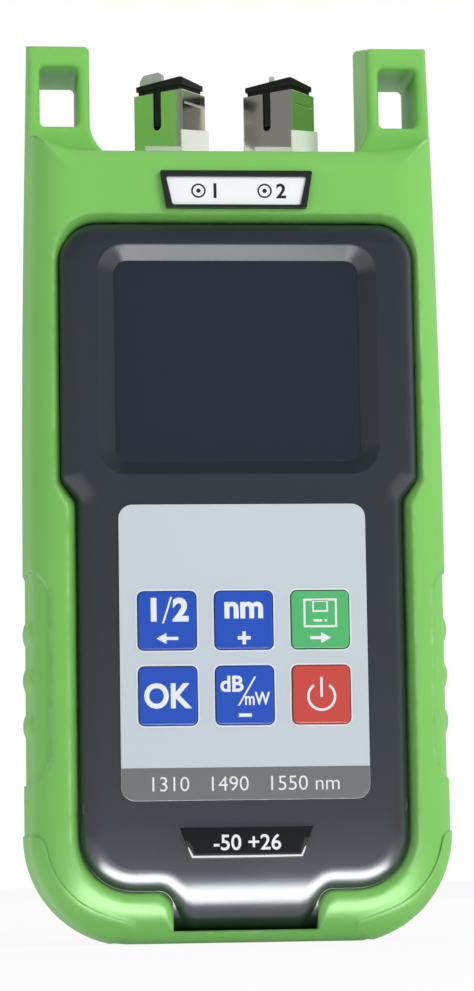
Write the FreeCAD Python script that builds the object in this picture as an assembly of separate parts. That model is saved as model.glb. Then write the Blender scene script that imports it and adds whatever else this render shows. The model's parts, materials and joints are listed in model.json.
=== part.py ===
"""Handheld optical power meter in a stretch-on protective boot.

Millimetres. X is to the right, Z is up, and the keypad side faces -Y.
The origin is at the centre of the footprint, on the base that the meter stands on.
Depths are given as a distance behind the face of the keypad label, which is the datum of the front.
"""

import FreeCAD, Part
import math
import os

from FreeCAD import Placement, Rotation, Vector

# ---------------------------------------------------------------- driving sizes
# protective boot
BOOT_HALF_W = 43.9          # half width at the parting line
BOOT_PARTING = 20.0         # depth of the parting line, the widest one
BOOT_FRONT = 2.2            # depth of the boot's front face
BOOT_BACK = 41.5            # depth of its back face
BOOT_DRAFT_FRONT = 2.4      # how much each side leans in towards the front
BOOT_DRAFT_BACK = 1.4
BOOT_CORNER_R = 22.0        # bottom corners, seen from the front
BOOT_FRONT_ROLL = 9.0
BOOT_BACK_ROLL = 5.0
BOOT_WALL = 2.5
SHOULDER_Z = 115.0          # above this the sides lean in towards the ears
SHOULDER_REACH = 36.7       # the sweep at the shoulder runs this far up and down from it
BASE_TRIM = 0.3             # cut off the boot's base to leave the flat that it stands on
SIDE_OVERRUN = 20.0         # the side faces run on past the ears before those are cut out of them
SHELF_Z = 162.4             # top of the boot between the ears
CREST_ROLL_FRONT = 6.0
CREST_ROLL_BACK = 3.0
CREST_START_X = 29.0        # outside this the crest curves up into the ears
CREST_R = 24.0

# ears
EAR_TOP_Z = 186.4           # at the ears' front; their tops rise towards the back
EAR_TOP_RISE = 5.8
EAR_TIP_HALF_W = 42.4
EAR_INNER_X = 29.25
EAR_FRONT = 15.3
EAR_BACK = 39.0
EAR_CORNER_R = 1.2
EAR_ROOT_R = 8.0
EAR_EDGE_R = 1.1            # soft edges of the ears and of their windows
WINDOW_X = 35.7
WINDOW_W = 8.0
WINDOW_BOTTOM = 169.45
WINDOW_TOP = 182.0
WINDOW_RISE = 0.8
WINDOW_R = 1.1

# front opening of the boot and the raised deck of the housing in it
OPEN_TOP = 146.3
OPEN_TOP_R = 8.0
OPEN_HALF_W_UPPER = 36.5
OPEN_HALF_W_LOWER = 33.2
OPEN_STEP_UPPER = 93.2
OPEN_STEP_LOWER = 89.0
OPEN_STEP_R = 2.4
OPEN_BOTTOM = 10.5
OPEN_BOTTOM_R = 11.0
NOTCH_HALF_W = 14.6
NOTCH_R = 3.0
RIM_BEVEL = 2.0             # width of the lip's bevel, seen from the front
RIM_DEPTH = 2.4             # depth over which it slopes
DECK_GAP = 0.12             # between the deck and the boot's lip

# housing
HOUSING_TOP_R = 8.0
DECK_FACE = 0.4             # depth of the deck's face, under the keypad label
DECK_EDGE_R = 4.2
DECK_ROLL_R = 11.0          # big roll at the bottom of the deck
WALL = 2.2
SEAM = 20.0                 # depth of the joint between the two shells

# screen
SCREEN_X = -0.2
SCREEN_Z = 117.75
SCREEN_W = 49.9
SCREEN_H = 41.4
SCREEN_BEVEL_SIDE = 3.55
SCREEN_BEVEL_END = 2.9
SCREEN_OUTER_R = 5.6
SCREEN_R = 2.6
SCREEN_SINK = 2.9           # depth of the window below the deck's face
LENS_T = 1.2
VIEW_MARGIN = 2.6           # ledge that the lens is glued to
LCD_T = 2.8
LEDGE_T = 1.2
TRAY_T = 0.9
LCD_W = 46.0
LCD_H = 38.0
SCREEN_FRAME = 3.6          # width of the shell's thick frame round the window

# keypad
LABEL_W = 50.0
LABEL_TOP = 87.9
LABEL_BOTTOM = 28.4
LABEL_R = 2.8
KEY_SIZE = 11.6
KEY_R = 1.1
KEY_PITCH_X = 15.45
KEY_PITCH_Z = 15.1
KEY_ROW_TOP = 64.4          # height of the upper row's centres
KEY_PROUD = 0.5
KEY_TRAVEL = 0.45
KEY_GAP = 0.2
KEY_FLANGE = 1.1
KEY_FLANGE_T = 0.8
SWITCH_SIZE = 6.0
SWITCH_H = 3.4
PLUNGER_R = 1.75
PLUNGER_IN = 1.2            # length of a plunger inside its switch
SWITCH_HOLE_SPARE = 0.55    # depth left under a plunger at the end of its travel
RUNNING_GAP = 0.06

# boards
BOARD_T = 1.6
BOARD_HALF_W = 33.0
BOARD_BOTTOM = 24.0
BOARD_TOP = 143.0
BOARD_R = 1.5
BOARD_SCREW_IN = 3.2
BOARD_SCREW_R = 1.0
BOARD_SCREW_HEAD_R = 1.9
BOARD_SCREW_HEAD_T = 1.2
BOARD_SCREW_L = 5.0
POST_R = 3.0

# badges
BADGE_BOTTOM = 149.1
BADGE_TOP = 156.9
BADGE_TOP_W = 31.4
BADGE_BOTTOM_W = 28.8
BADGE_T = 1.1
BADGE_BORDER = 1.25
BADGE_LOWER_BORDER = 0.7
BADGE_PLATE_T = 0.7
LOWER_BADGE_TOP = 23.0
LOWER_BADGE_BOTTOM = 16.8
LOWER_BADGE_TOP_W = 27.0
LOWER_BADGE_BOTTOM_W = 22.6
LOWER_BADGE_T = 1.1
LOWER_BADGE_BEVEL = 1.3

# optical ports
PORT_PITCH = 23.36
PORT_DEPTH = 27.4
PORT_TURN = -39.5           # the hoods are turned about their own axis
HOOD_W = 12.55              # wide faces, with the keyway
HOOD_D = 9.15               # narrow faces
HOOD_WALL = 1.05
HOOD_TOP = 178.75
HOOD_R = 0.5
HOOD_FLOOR = 167.5
SLOT_W = 2.0
SLOT_BOTTOM = 170.55
LATCH_LINE_DOWN = 2.7       # fine line across the narrow face, below the hood's top
LATCH_LINE_L = 6.7
LATCH_LINE_H = 0.25
LATCH_LINE_DEEP = 0.3
SEAT_HIGH = 169.8           # top of the skirt at the hood's near corner, on the narrow face
SEAT_LOW = 166.15           # and on the wide face
SEAT_RISE = 1.4             # both tops rise by this much towards their far ends
SEAT_PROUD = 0.35
SEAT_SHARE = 0.74           # part of the wide face that the low skirt covers
SEAT_RETURN = 1.2           # how far the tall skirt comes round the far corner
PLATE_LENGTH = 40.0
PLATE_DEPTH = 15.5
PLATE_TOP = 165.2
PLATE_R = 3.0
PLATE_GAP = 0.15
PORT_HOLE_GAP = 0.15
BARREL_R = 4.6
BARREL_BOTTOM = 149.0
NUT_ACROSS = 14.0
NUT_T = 2.6
SLEEVE_BORE_R = 1.265
SLEEVE_R = 1.75
SLEEVE_TOP = 175.2
CAN_R = 3.6
CAN_H = 5.2
CAN_RIM_R = 4.4
CAN_RIM_T = 0.9
LEAD_R = 0.3
LEAD_L = 3.0
LEAD_CIRCLE_R = 1.3

# dust plugs
PLUG_FLANGE_T = 0.9
PLUG_NECK = 1.5
PLUG_FLANGE_IN = 0.3
PLUG_NECK_IN = 0.75
PLUG_GAP = 0.15
PLUG_DEPTH = 10.4
PLUG_BORE_R = 2.6
PLUG_SAG = 0.8              # the flange droops by this much at the two corners beside the near one
TAB_T = 0.9
# each plug's tab: length, height, its middle along and across the hood, and its turn
TABS = {"left": (5.7, 2.6, -3.0, -2.2, 0.0), "right": (4.0, 2.2, -1.2, -0.6, 119.0)}

# grips and corner pads
GRIP_BOTTOM = 32.2
GRIP_TOP = 75.4
GRIP_FRONT = 4.0
GRIP_BACK = 36.0
GRIP_R = 6.0
GRIP_SINK = 0.45
BUMP_Z = 53.8
BUMP_PITCH = 9.4
BUMP_R = 5.5
BUMP_PROUD = 0.55
BUMP_FRONT = 13.0
BUMP_BACK = 28.0
PAD_PROUD = 0.3
PAD_TOP = 22.0
PAD_LOW = 3.4
PAD_INNER_X = 20.8
PAD_RING_R = 17.0

# back
BACK_OPEN_HALF_W = 29.0
BACK_OPEN_BOTTOM = 14.0
BACK_OPEN_TOP = 155.0
BACK_OPEN_R = 7.0
DOOR_HALF_W = 24.0
DOOR_BOTTOM = 24.0
DOOR_R = 2.0
DOOR_T = 2.4
DOOR_GAP = 0.2
DOOR_LEDGE = 1.8
PIN_R = 0.8
PIN_L = 1.4
GROOVE_COUNT = 4
GROOVE_PITCH = 2.6
GROOVE_W = 16.0
GROOVE_R = 0.6
CELL_R = 7.1
CELL_L = 48.5
CELL_NUB_R = 2.7
CELL_NUB_H = 1.6
CELL_GAP = 0.4
SPRING_ROOM = 4.4           # left at each end of a cell for its contact
CELL_DEPTH = 29.2
COMPARTMENT_FLOOR = 22.0
COMPARTMENT_WALL = 1.5
CONTACT_T = 0.5
CONTACT_W = 10.0
SPRING_FOOT_R = 4.5
SPRING_TIP_R = 2.0
SCREW_R = 1.5
SCREW_HEAD_R = 2.9
SCREW_HEAD_T = 1.8
SCREW_L = 22.0
SCREW_HEAD_SINK = 0.3
SCREW_X = 26.0
SCREW_LOW_Z = 18.8
SCREW_HIGH_Z = 150.0
SCREW_HOLE_GAP = 0.15
BOSS_R = 3.6


# sizes that follow from those above
FRONT_MOST = DECK_FACE - LOWER_BADGE_T
DATUM_Y = -(BOOT_BACK + FRONT_MOST) / 2
HOUSING_HALF_W = BOOT_HALF_W - BOOT_WALL
HOUSING_BOTTOM = BOOT_WALL
HOUSING_TOP = SHELF_Z - BOOT_WALL
HOUSING_FRONT = BOOT_FRONT + RIM_DEPTH
HOUSING_BACK = BOOT_BACK - BOOT_WALL
WALL_BACK = DECK_FACE + WALL
LENS_FACE = DECK_FACE + SCREEN_SINK
LEDGE_FACE = LENS_FACE + LENS_T
LCD_FACE = LEDGE_FACE + LEDGE_T
BOARD_FACE = LCD_FACE + LCD_T + TRAY_T
BOARD_REAR = BOARD_FACE + BOARD_T
KEY_REAR = WALL_BACK + KEY_FLANGE_T
SWITCH_FACE = BOARD_FACE - SWITCH_H
SWITCH_HOLE = PLUNGER_IN + KEY_TRAVEL + SWITCH_HOLE_SPARE
DOOR_FACE = HOUSING_BACK - DOOR_T
COMPARTMENT_BOTTOM = DOOR_BOTTOM + DOOR_T + DOOR_LEDGE / 2
COMPARTMENT_TOP = COMPARTMENT_BOTTOM + CELL_L + CELL_NUB_H + 2 * SPRING_ROOM
DOOR_TOP = COMPARTMENT_TOP + DOOR_LEDGE
DOOR_AXIS_DEPTH = HOUSING_BACK - DOOR_T / 2
DOOR_AXIS_Z = DOOR_BOTTOM + DOOR_T / 2


# ---------------------------------------------------------------- helpers
def y_at(depth):
    """Row-frame Y of a depth behind the label's face."""
    return DATUM_Y + depth


def rounded_wire(corners, place):
    """Closed wire through corners (u, v, radius), with each corner rounded, laid out by place(u, v)."""
    pieces = []
    count = len(corners)
    for i in range(count):
        before = Vector(corners[i - 1][0], corners[i - 1][1], 0)
        here = Vector(corners[i][0], corners[i][1], 0)
        after = Vector(corners[(i + 1) % count][0], corners[(i + 1) % count][1], 0)
        radius = corners[i][2]
        to_before = (before - here).normalize()
        to_after = (after - here).normalize()
        half = to_before.getAngle(to_after) / 2
        if radius <= 0 or math.pi / 2 - half < 1e-4:
            pieces.append((here, None, here))
            continue
        reach = radius / math.tan(half)
        inward = (to_before + to_after).normalize()
        middle = here + inward * (radius / math.sin(half) - radius)
        pieces.append((here + to_before * reach, middle, here + to_after * reach))
    edges = []
    for i in range(count):
        start, middle, end = pieces[i]
        if middle is not None:
            edges.append(Part.Arc(place(start), place(middle), place(end)).toShape())
        following = pieces[(i + 1) % count][0]
        if (following - end).Length > 1e-6:
            edges.append(Part.makeLine(place(end), place(following)))
    return Part.Wire(edges)


def front_place(depth):
    """Places an outline drawn in X and Z at a depth."""
    return lambda p: Vector(p.x, y_at(depth), p.y)


def front_prism(corners, near, far):
    """Outline drawn in X and Z, from one depth to another."""
    face = Part.Face(rounded_wire(corners, front_place(near)))
    return face.extrude(Vector(0, far - near, 0))


def front_loft(near_corners, near, far_corners, far):
    """Straight-sided loft between two outlines drawn in X and Z."""
    wires = [
        rounded_wire(near_corners, front_place(near)),
        rounded_wire(far_corners, front_place(far)),
    ]
    return Part.makeLoft(wires, True, True)


def side_prism(corners, left, right):
    """Outline drawn as (depth, Z), from one X to another."""
    face = Part.Face(rounded_wire(corners, lambda p: Vector(left, y_at(p.x), p.y)))
    return face.extrude(Vector(right - left, 0, 0))


def plan_prism(corners, bottom, top):
    """Outline drawn as (X, depth), from one Z to another."""
    face = Part.Face(rounded_wire(corners, lambda p: Vector(p.x, y_at(p.y), bottom)))
    return face.extrude(Vector(0, 0, top - bottom))


def box_corners(low_u, low_v, high_u, high_v, radius=0.0):
    return [
        (low_u, low_v, radius),
        (high_u, low_v, radius),
        (high_u, high_v, radius),
        (low_u, high_v, radius),
    ]


def mirrored(right_half):
    """Closes an outline whose right half is listed from the bottom to the top."""
    left_half = [(-u, v, radius) for u, v, radius in reversed(right_half)]
    return right_half + left_half


def rod(x, z, radius, near, far):
    """Round bar along the depth."""
    return Part.makeCylinder(radius, far - near, Vector(x, y_at(near), z), Vector(0, 1, 0))


def upright(x, depth, radius, bottom, top):
    """Round bar along Z."""
    return Part.makeCylinder(radius, top - bottom, Vector(x, y_at(depth), bottom), Vector(0, 0, 1))


def edges_at_depth(shape, depth, keep=lambda box: True):
    """Edges that lie wholly at one depth and pass a test on their bounding box."""
    found = []
    for edge in shape.Edges:
        box = edge.BoundBox
        flat = abs(box.YMin - y_at(depth)) < 1e-4 and abs(box.YMax - y_at(depth)) < 1e-4
        if flat and keep(box):
            found.append(edge)
    return found


def single(shape):
    """The one solid of a result, without leftover seams."""
    solids = shape.Solids
    return solids[0] if len(solids) == 1 else shape


def export(name, shape):
    shape.exportStep("parts/" + name + ".step")


# ---------------------------------------------------------------- outlines
def side_outline(half_w, bottom, corner_r):
    """Boot or housing from the front: round bottom corners, and sides that lean in from the shoulder up."""
    lean = (BOOT_HALF_W - EAR_TIP_HALF_W) / (EAR_TOP_Z - SHOULDER_Z)
    sweep_r = SHOULDER_REACH / max(math.tan(abs(math.atan(lean)) / 2), 1e-4)
    top = EAR_TOP_Z + SIDE_OVERRUN
    return mirrored([
        (half_w, bottom, corner_r),
        (half_w, SHOULDER_Z, sweep_r),
        (half_w - lean * (top - SHOULDER_Z), top, 0.0),
    ])


def opening_outline(shrink=0.0):
    """Front opening of the boot; a positive shrink gives the deck that sits in it."""
    return mirrored([
        (NOTCH_HALF_W - shrink, BOOT_WALL, 0.0),
        (NOTCH_HALF_W - shrink, OPEN_BOTTOM + shrink, NOTCH_R + shrink),
        (OPEN_HALF_W_LOWER - shrink, OPEN_BOTTOM + shrink, OPEN_BOTTOM_R - shrink),
        (OPEN_HALF_W_LOWER - shrink, OPEN_STEP_LOWER, OPEN_STEP_R),
        (OPEN_HALF_W_UPPER - shrink, OPEN_STEP_UPPER, OPEN_STEP_R),
        (OPEN_HALF_W_UPPER - shrink, OPEN_TOP - shrink, OPEN_TOP_R - shrink),
    ])


def bevelled_outline(grow):
    """The opening's outline where the lip's bevel has widened it, level at the base of the notch."""
    corner_r = max(NOTCH_R - grow, 0.2)
    return mirrored([
        (NOTCH_HALF_W + grow, BOOT_WALL, 0.0),
        (NOTCH_HALF_W + grow, OPEN_BOTTOM - grow, corner_r),
        (OPEN_HALF_W_LOWER + grow, OPEN_BOTTOM - grow, OPEN_BOTTOM_R + grow),
        (OPEN_HALF_W_LOWER + grow, OPEN_STEP_LOWER - grow / 2, OPEN_STEP_R),
        (OPEN_HALF_W_UPPER + grow, OPEN_STEP_UPPER - grow / 2, OPEN_STEP_R),
        (OPEN_HALF_W_UPPER + grow, OPEN_TOP + grow, OPEN_TOP_R + grow),
    ])


def trapezoid(top_w, bottom_w, bottom, top, radius):
    return mirrored([(bottom_w / 2, bottom, radius), (top_w / 2, top, radius)])


def centred_box(x, z, width, height, radius=0.0):
    return box_corners(x - width / 2, z - height / 2, x + width / 2, z + height / 2, radius)


def key_places():
    """Name and centre of each key, row by row."""
    rows = [["ratio", "wavelength", "save"], ["ok", "units", "power"]]
    for row, names in enumerate(rows):
        for column, name in enumerate(names):
            yield name, (column - 1) * KEY_PITCH_X, KEY_ROW_TOP - row * KEY_PITCH_Z


def port_places():
    yield "left", -PORT_PITCH / 2
    yield "right", PORT_PITCH / 2


def housing_screw_places():
    for z in (SCREW_LOW_Z, SCREW_HIGH_Z):
        for side in (-1, 1):
            yield side * SCREW_X, z


def board_screw_places():
    for z in (BOARD_BOTTOM + BOARD_SCREW_IN, BOARD_TOP - BOARD_SCREW_IN):
        for side in (-1, 1):
            yield side * (BOARD_HALF_W - BOARD_SCREW_IN), z


# ---------------------------------------------------------------- outer forms
def drafted_form(half_w, bottom, corner_r, front, back, front_roll, back_roll):
    """Form that is widest at the parting line, drafted both ways, with rolled edges and an open top."""
    near = side_outline(half_w - BOOT_DRAFT_FRONT, bottom, corner_r)
    middle = side_outline(half_w, bottom, corner_r)
    far = side_outline(half_w - BOOT_DRAFT_BACK, bottom, corner_r)
    top = EAR_TOP_Z + SIDE_OVERRUN

    def below_top(box):
        return box.ZMin < top - 1.0

    front_half = front_loft(near, front, middle, BOOT_PARTING)
    front_half = front_half.makeFillet(front_roll, edges_at_depth(front_half, front, below_top))
    back_half = front_loft(middle, BOOT_PARTING, far, back)
    back_half = back_half.makeFillet(back_roll, edges_at_depth(back_half, back, below_top))
    return front_half.fuse(back_half)


def boot_sides(grow=0.0):
    """Sides, front and base of the boot, grown outwards."""
    return drafted_form(
        BOOT_HALF_W + grow, -grow - BASE_TRIM, BOOT_CORNER_R + grow,
        BOOT_FRONT - grow, BOOT_BACK, BOOT_FRONT_ROLL, BOOT_BACK_ROLL,
    )


def below_base():
    """Room under the plane that the meter stands on."""
    half = 2 * BOOT_HALF_W
    return front_prism(box_corners(-half, -half, half, 0.0), BOOT_FRONT - half, BOOT_BACK + half)


def crest_block():
    """Everything below the boot's top: level between the ears, curving up outside them, with rolled edges."""
    sweep = math.asin((BOOT_HALF_W + 2.0 - CREST_START_X) / CREST_R)
    centre_z = SHELF_Z + CREST_R
    outer_x = CREST_START_X + CREST_R * math.sin(sweep)
    outer_z = centre_z - CREST_R * math.cos(sweep)
    half_x = CREST_START_X + CREST_R * math.sin(sweep / 2)
    half_z = centre_z - CREST_R * math.cos(sweep / 2)
    base_z = -1.0

    def at(x, z):
        return Vector(x, y_at(BOOT_FRONT), z)

    wire = Part.Wire([
        Part.makeLine(at(-outer_x, base_z), at(outer_x, base_z)),
        Part.makeLine(at(outer_x, base_z), at(outer_x, outer_z)),
        Part.Arc(at(outer_x, outer_z), at(half_x, half_z), at(CREST_START_X, SHELF_Z)).toShape(),
        Part.makeLine(at(CREST_START_X, SHELF_Z), at(-CREST_START_X, SHELF_Z)),
        Part.Arc(at(-CREST_START_X, SHELF_Z), at(-half_x, half_z), at(-outer_x, outer_z)).toShape(),
        Part.makeLine(at(-outer_x, outer_z), at(-outer_x, base_z)),
    ])
    block = Part.Face(wire).extrude(Vector(0, BOOT_BACK - BOOT_FRONT, 0))

    def on_crest(box):
        return box.ZMin > SHELF_Z - 0.1 and box.XLength > 1.0

    block = block.makeFillet(CREST_ROLL_FRONT, edges_at_depth(block, BOOT_FRONT, on_crest))
    return block.makeFillet(CREST_ROLL_BACK, edges_at_depth(block, BOOT_BACK, on_crest))


def ear_block(side):
    """One ear with its window and the fillet at its root; its outer face comes from the boot's sides."""
    outer = BOOT_HALF_W + 2.0
    root = SHELF_Z - CREST_R / 2

    def outline(top):
        return [
            (side * outer, root, 0.0),
            (side * outer, top, 0.0),
            (side * EAR_INNER_X, top, EAR_CORNER_R),
            (side * EAR_INNER_X, SHELF_Z, EAR_ROOT_R),
            (side * (EAR_INNER_X - EAR_ROOT_R), SHELF_Z, 0.0),
            (side * (EAR_INNER_X - EAR_ROOT_R), root, 0.0),
        ]

    def window_outline(top):
        return box_corners(
            side * WINDOW_X - WINDOW_W / 2, WINDOW_BOTTOM,
            side * WINDOW_X + WINDOW_W / 2, top, WINDOW_R,
        )

    ear = front_loft(outline(EAR_TOP_Z), EAR_FRONT, outline(EAR_TOP_Z + EAR_TOP_RISE), EAR_BACK)
    window = front_loft(
        window_outline(WINDOW_TOP), EAR_FRONT, window_outline(WINDOW_TOP + WINDOW_RISE), EAR_BACK,
    )
    ear = ear.cut(window)

    def on_rim(box):
        return box.ZMin > SHELF_Z + EAR_ROOT_R - 0.1 and max(abs(box.XMin), abs(box.XMax)) < outer - 0.1

    def top_too(box):
        return on_rim(box) or box.ZMin > EAR_TOP_Z - 0.1

    for depth in (EAR_FRONT, EAR_BACK):
        ear = ear.makeFillet(EAR_EDGE_R, edges_at_depth(ear, depth, top_too))
    return ear


def grip_recess():
    """Shallow panels sunk in both sides of the boot, less the bumps that stand in them."""
    window = side_prism(
        box_corners(GRIP_FRONT, GRIP_BOTTOM, GRIP_BACK, GRIP_TOP, GRIP_R),
        -BOOT_HALF_W - 2.0, BOOT_HALF_W + 2.0,
    )
    return window.common(boot_sides(0.5).cut(boot_sides(-GRIP_SINK)))


def grip_bumps():
    """Round-ended ribs in the grip panels, which follow the sides' draft both ways from the parting line."""
    peak = BOOT_HALF_W - GRIP_SINK + BUMP_PROUD
    draft_front = BOOT_DRAFT_FRONT * (BOOT_PARTING - BUMP_FRONT) / (BOOT_PARTING - BOOT_FRONT)
    draft_back = BOOT_DRAFT_BACK * (BUMP_BACK - BOOT_PARTING) / (BOOT_BACK - BOOT_PARTING)
    slab_h = 2 * BUMP_PITCH + 4 * BUMP_R
    bumps = []
    for side in (-1, 1):
        for step in (-1, 0, 1):
            x = side * (peak - BUMP_R)
            z = BUMP_Z + step * BUMP_PITCH
            middle = Vector(x, y_at(BOOT_PARTING), z)
            bar = Part.makeSphere(BUMP_R, middle)
            for depth, draft in ((BUMP_FRONT, draft_front), (BUMP_BACK, draft_back)):
                end = Vector(x - side * draft, y_at(depth), z)
                along = end - middle
                bar = bar.fuse(Part.makeCylinder(BUMP_R, along.Length, middle, along))
                bar = bar.fuse(Part.makeSphere(BUMP_R, end))
            slab = Part.makeBox(
                BUMP_R, BOOT_BACK, slab_h,
                Vector(side * (peak - 0.5) - BUMP_R / 2, DATUM_Y, BUMP_Z - slab_h / 2),
            )
            bumps.append(bar.common(slab))
    return bumps


def corner_pads():
    """Slightly raised wear pads round the two bottom corners."""
    skin = boot_sides(PAD_PROUD).cut(boot_sides())
    pads = []
    for side in (-1, 1):
        outer = side * (BOOT_HALF_W + 3.0)
        inner = side * PAD_INNER_X
        middle = side * (PAD_INNER_X + PAD_RING_R)
        corners = [
            (inner + side * 6.0, 0.0, 0.0),
            (inner, PAD_LOW, 1.0),
            (middle, PAD_TOP * 0.42, PAD_RING_R),
            (side * (BOOT_HALF_W - 3.4), PAD_TOP, 3.0),
            (outer, PAD_TOP, 0.0),
            (outer, 0.0, 0.0),
        ]
        pads.append(skin.common(front_prism(corners, BOOT_FRONT - 2.0, GRIP_BACK)))
    return pads


def housing_body():
    """Outer form of the housing's two shells without the raised deck."""
    outer = HOUSING_HALF_W + 2.0
    top = front_prism(
        mirrored([(outer, 0.0, 0.0), (outer, HOUSING_TOP, HOUSING_TOP_R + 2.0)]),
        HOUSING_FRONT, HOUSING_BACK,
    )

    def on_top(box):
        return box.ZMin > HOUSING_TOP - HOUSING_TOP_R - 3.0

    top = top.makeFillet(CREST_ROLL_FRONT, edges_at_depth(top, HOUSING_FRONT, on_top))
    sides = drafted_form(
        HOUSING_HALF_W, HOUSING_BOTTOM, BOOT_CORNER_R - BOOT_WALL,
        HOUSING_FRONT, HOUSING_BACK, BOOT_FRONT_ROLL - BOOT_WALL, BOOT_BACK_ROLL - BOOT_WALL,
    )
    return sides.common(top)


def deck():
    """Raised deck that fills the boot's front opening, rolled back at its foot."""
    foot = 2 * DECK_ROLL_R
    outline = front_prism(opening_outline(DECK_GAP), DECK_FACE, foot)
    top = OPEN_TOP + 5.0
    roll = side_prism(
        [
            (DECK_FACE, HOUSING_BOTTOM, DECK_ROLL_R),
            (foot, HOUSING_BOTTOM, 0.0),
            (foot, top, 0.0),
            (DECK_FACE, top, 0.0),
        ],
        -OPEN_HALF_W_UPPER - 1.0, OPEN_HALF_W_UPPER + 1.0,
    )
    block = outline.common(roll)
    rim = []
    for edge in block.Edges:
        box = edge.BoundBox
        along_depth = box.XLength < 1e-3 and box.ZLength < 1e-3
        across = box.ZLength < 1e-3 and box.XMin < 0.0 < box.XMax and box.ZMin < OPEN_TOP - 5.0
        deep = box.YMax > y_at(DECK_FACE + DECK_ROLL_R - 4.0)
        if not (along_depth or across or deep):
            rim.append(edge)
    return block.makeFillet(DECK_EDGE_R, rim)


# ---------------------------------------------------------------- boot
def protective_boot(envelope):
    """Silicone boot, moulded to the housing's envelope."""
    top = crest_block()
    for side in (-1, 1):
        top = top.fuse(ear_block(side))
    boot = boot_sides().common(top)
    boot = boot.cut(below_base())
    boot = boot.cut(grip_recess())
    boot = boot.fuse(grip_bumps())
    boot = boot.fuse(corner_pads())

    slope_in = -BOOT_FRONT
    slope_out = HOUSING_FRONT + RIM_DEPTH / 8
    widest = RIM_BEVEL * (HOUSING_FRONT - slope_in) / RIM_DEPTH
    bevel = front_loft(bevelled_outline(widest), slope_in, bevelled_outline(-RIM_BEVEL / 8), slope_out)
    opening = front_prism(opening_outline(), slope_in, HOUSING_FRONT + DECK_ROLL_R)
    boot = boot.cut(bevel).cut(opening)

    back = front_prism(
        box_corners(-BACK_OPEN_HALF_W, BACK_OPEN_BOTTOM, BACK_OPEN_HALF_W, BACK_OPEN_TOP, BACK_OPEN_R),
        HOUSING_BACK - 3.0, BOOT_BACK + 1.0,
    )
    ports = port_plate_form(PLATE_GAP, HOUSING_TOP - 4.0, PLATE_TOP + 4.0)
    return single(boot.cut(back).cut(ports).cut(envelope))


# ---------------------------------------------------------------- housing
def main_cavity(near, far):
    """Room inside the two shells."""
    half_w = HOUSING_HALF_W - BOOT_DRAFT_FRONT - WALL
    return front_prism(
        mirrored([
            (half_w, HOUSING_BOTTOM + WALL + 0.4, BOOT_CORNER_R - BOOT_WALL - WALL),
            (half_w, HOUSING_TOP - WALL, HOUSING_TOP_R - WALL),
        ]),
        near, far,
    )


def deck_cavity():
    """Room behind the deck, with the thick frame round the window left standing."""
    half_w = OPEN_HALF_W_LOWER - DECK_GAP - DECK_EDGE_R + 0.4
    room = front_prism(
        box_corners(-half_w, OPEN_BOTTOM + DECK_ROLL_R / 2, half_w, OPEN_TOP - DECK_EDGE_R, DECK_EDGE_R),
        WALL_BACK, HOUSING_FRONT + WALL + 1.0,
    )
    frame = front_prism(
        centred_box(SCREEN_X, SCREEN_Z, SCREEN_W + 2 * SCREEN_FRAME, SCREEN_H + 2 * SCREEN_FRAME),
        WALL_BACK, LCD_FACE,
    )
    return room.cut(frame)


def front_housing(envelope):
    """Front shell with its deck, screen recess, key holes, posts and bosses."""
    front_half = front_prism(
        box_corners(-BOOT_HALF_W, -1.0, BOOT_HALF_W, SHELF_Z), FRONT_MOST, SEAM,
    )
    shell = envelope.common(front_half)
    shell = shell.cut(main_cavity(HOUSING_FRONT + WALL + 0.4, SEAM)).cut(deck_cavity())

    outer_w = SCREEN_W + 2 * SCREEN_BEVEL_SIDE
    outer_h = SCREEN_H + 2 * SCREEN_BEVEL_END
    recess = front_loft(
        centred_box(SCREEN_X, SCREEN_Z, outer_w, outer_h, SCREEN_OUTER_R), DECK_FACE,
        centred_box(SCREEN_X, SCREEN_Z, SCREEN_W, SCREEN_H, SCREEN_R), LENS_FACE,
    )
    seat = front_prism(centred_box(SCREEN_X, SCREEN_Z, SCREEN_W, SCREEN_H, SCREEN_R), LENS_FACE, LEDGE_FACE)
    view = front_prism(
        centred_box(SCREEN_X, SCREEN_Z, SCREEN_W - 2 * VIEW_MARGIN, SCREEN_H - 2 * VIEW_MARGIN, SCREEN_R),
        LEDGE_FACE, LCD_FACE + 0.1,
    )
    behind = front_prism(
        centred_box(SCREEN_X, SCREEN_Z, LCD_W + 0.4, LCD_H + 0.4), LCD_FACE, BOARD_FACE,
    )
    shell = shell.cut(recess).cut(seat).cut(view).cut(behind)

    key_hole = KEY_SIZE + 2 * KEY_GAP
    for _, x, z in key_places():
        shell = shell.cut(front_prism(
            centred_box(x, z, key_hole, key_hole, KEY_R + KEY_GAP), FRONT_MOST, WALL_BACK + 0.1,
        ))
    for x, z in board_screw_places():
        shell = shell.fuse(rod(x, z, POST_R, WALL_BACK - 0.5, BOARD_FACE))
        shell = shell.cut(rod(x, z, BOARD_SCREW_R, BOARD_FACE - BOARD_SCREW_L + BOARD_T, BOARD_FACE))
    tip = HOUSING_BACK - SCREW_HEAD_SINK - SCREW_HEAD_T - SCREW_L
    for x, z in housing_screw_places():
        boss = rod(x, z, BOSS_R, HOUSING_FRONT + WALL, SEAM)
        shell = shell.fuse(boss).cut(rod(x, z, SCREW_R, tip, SEAM))
    return single(shell.cut(port_holes()))


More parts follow.
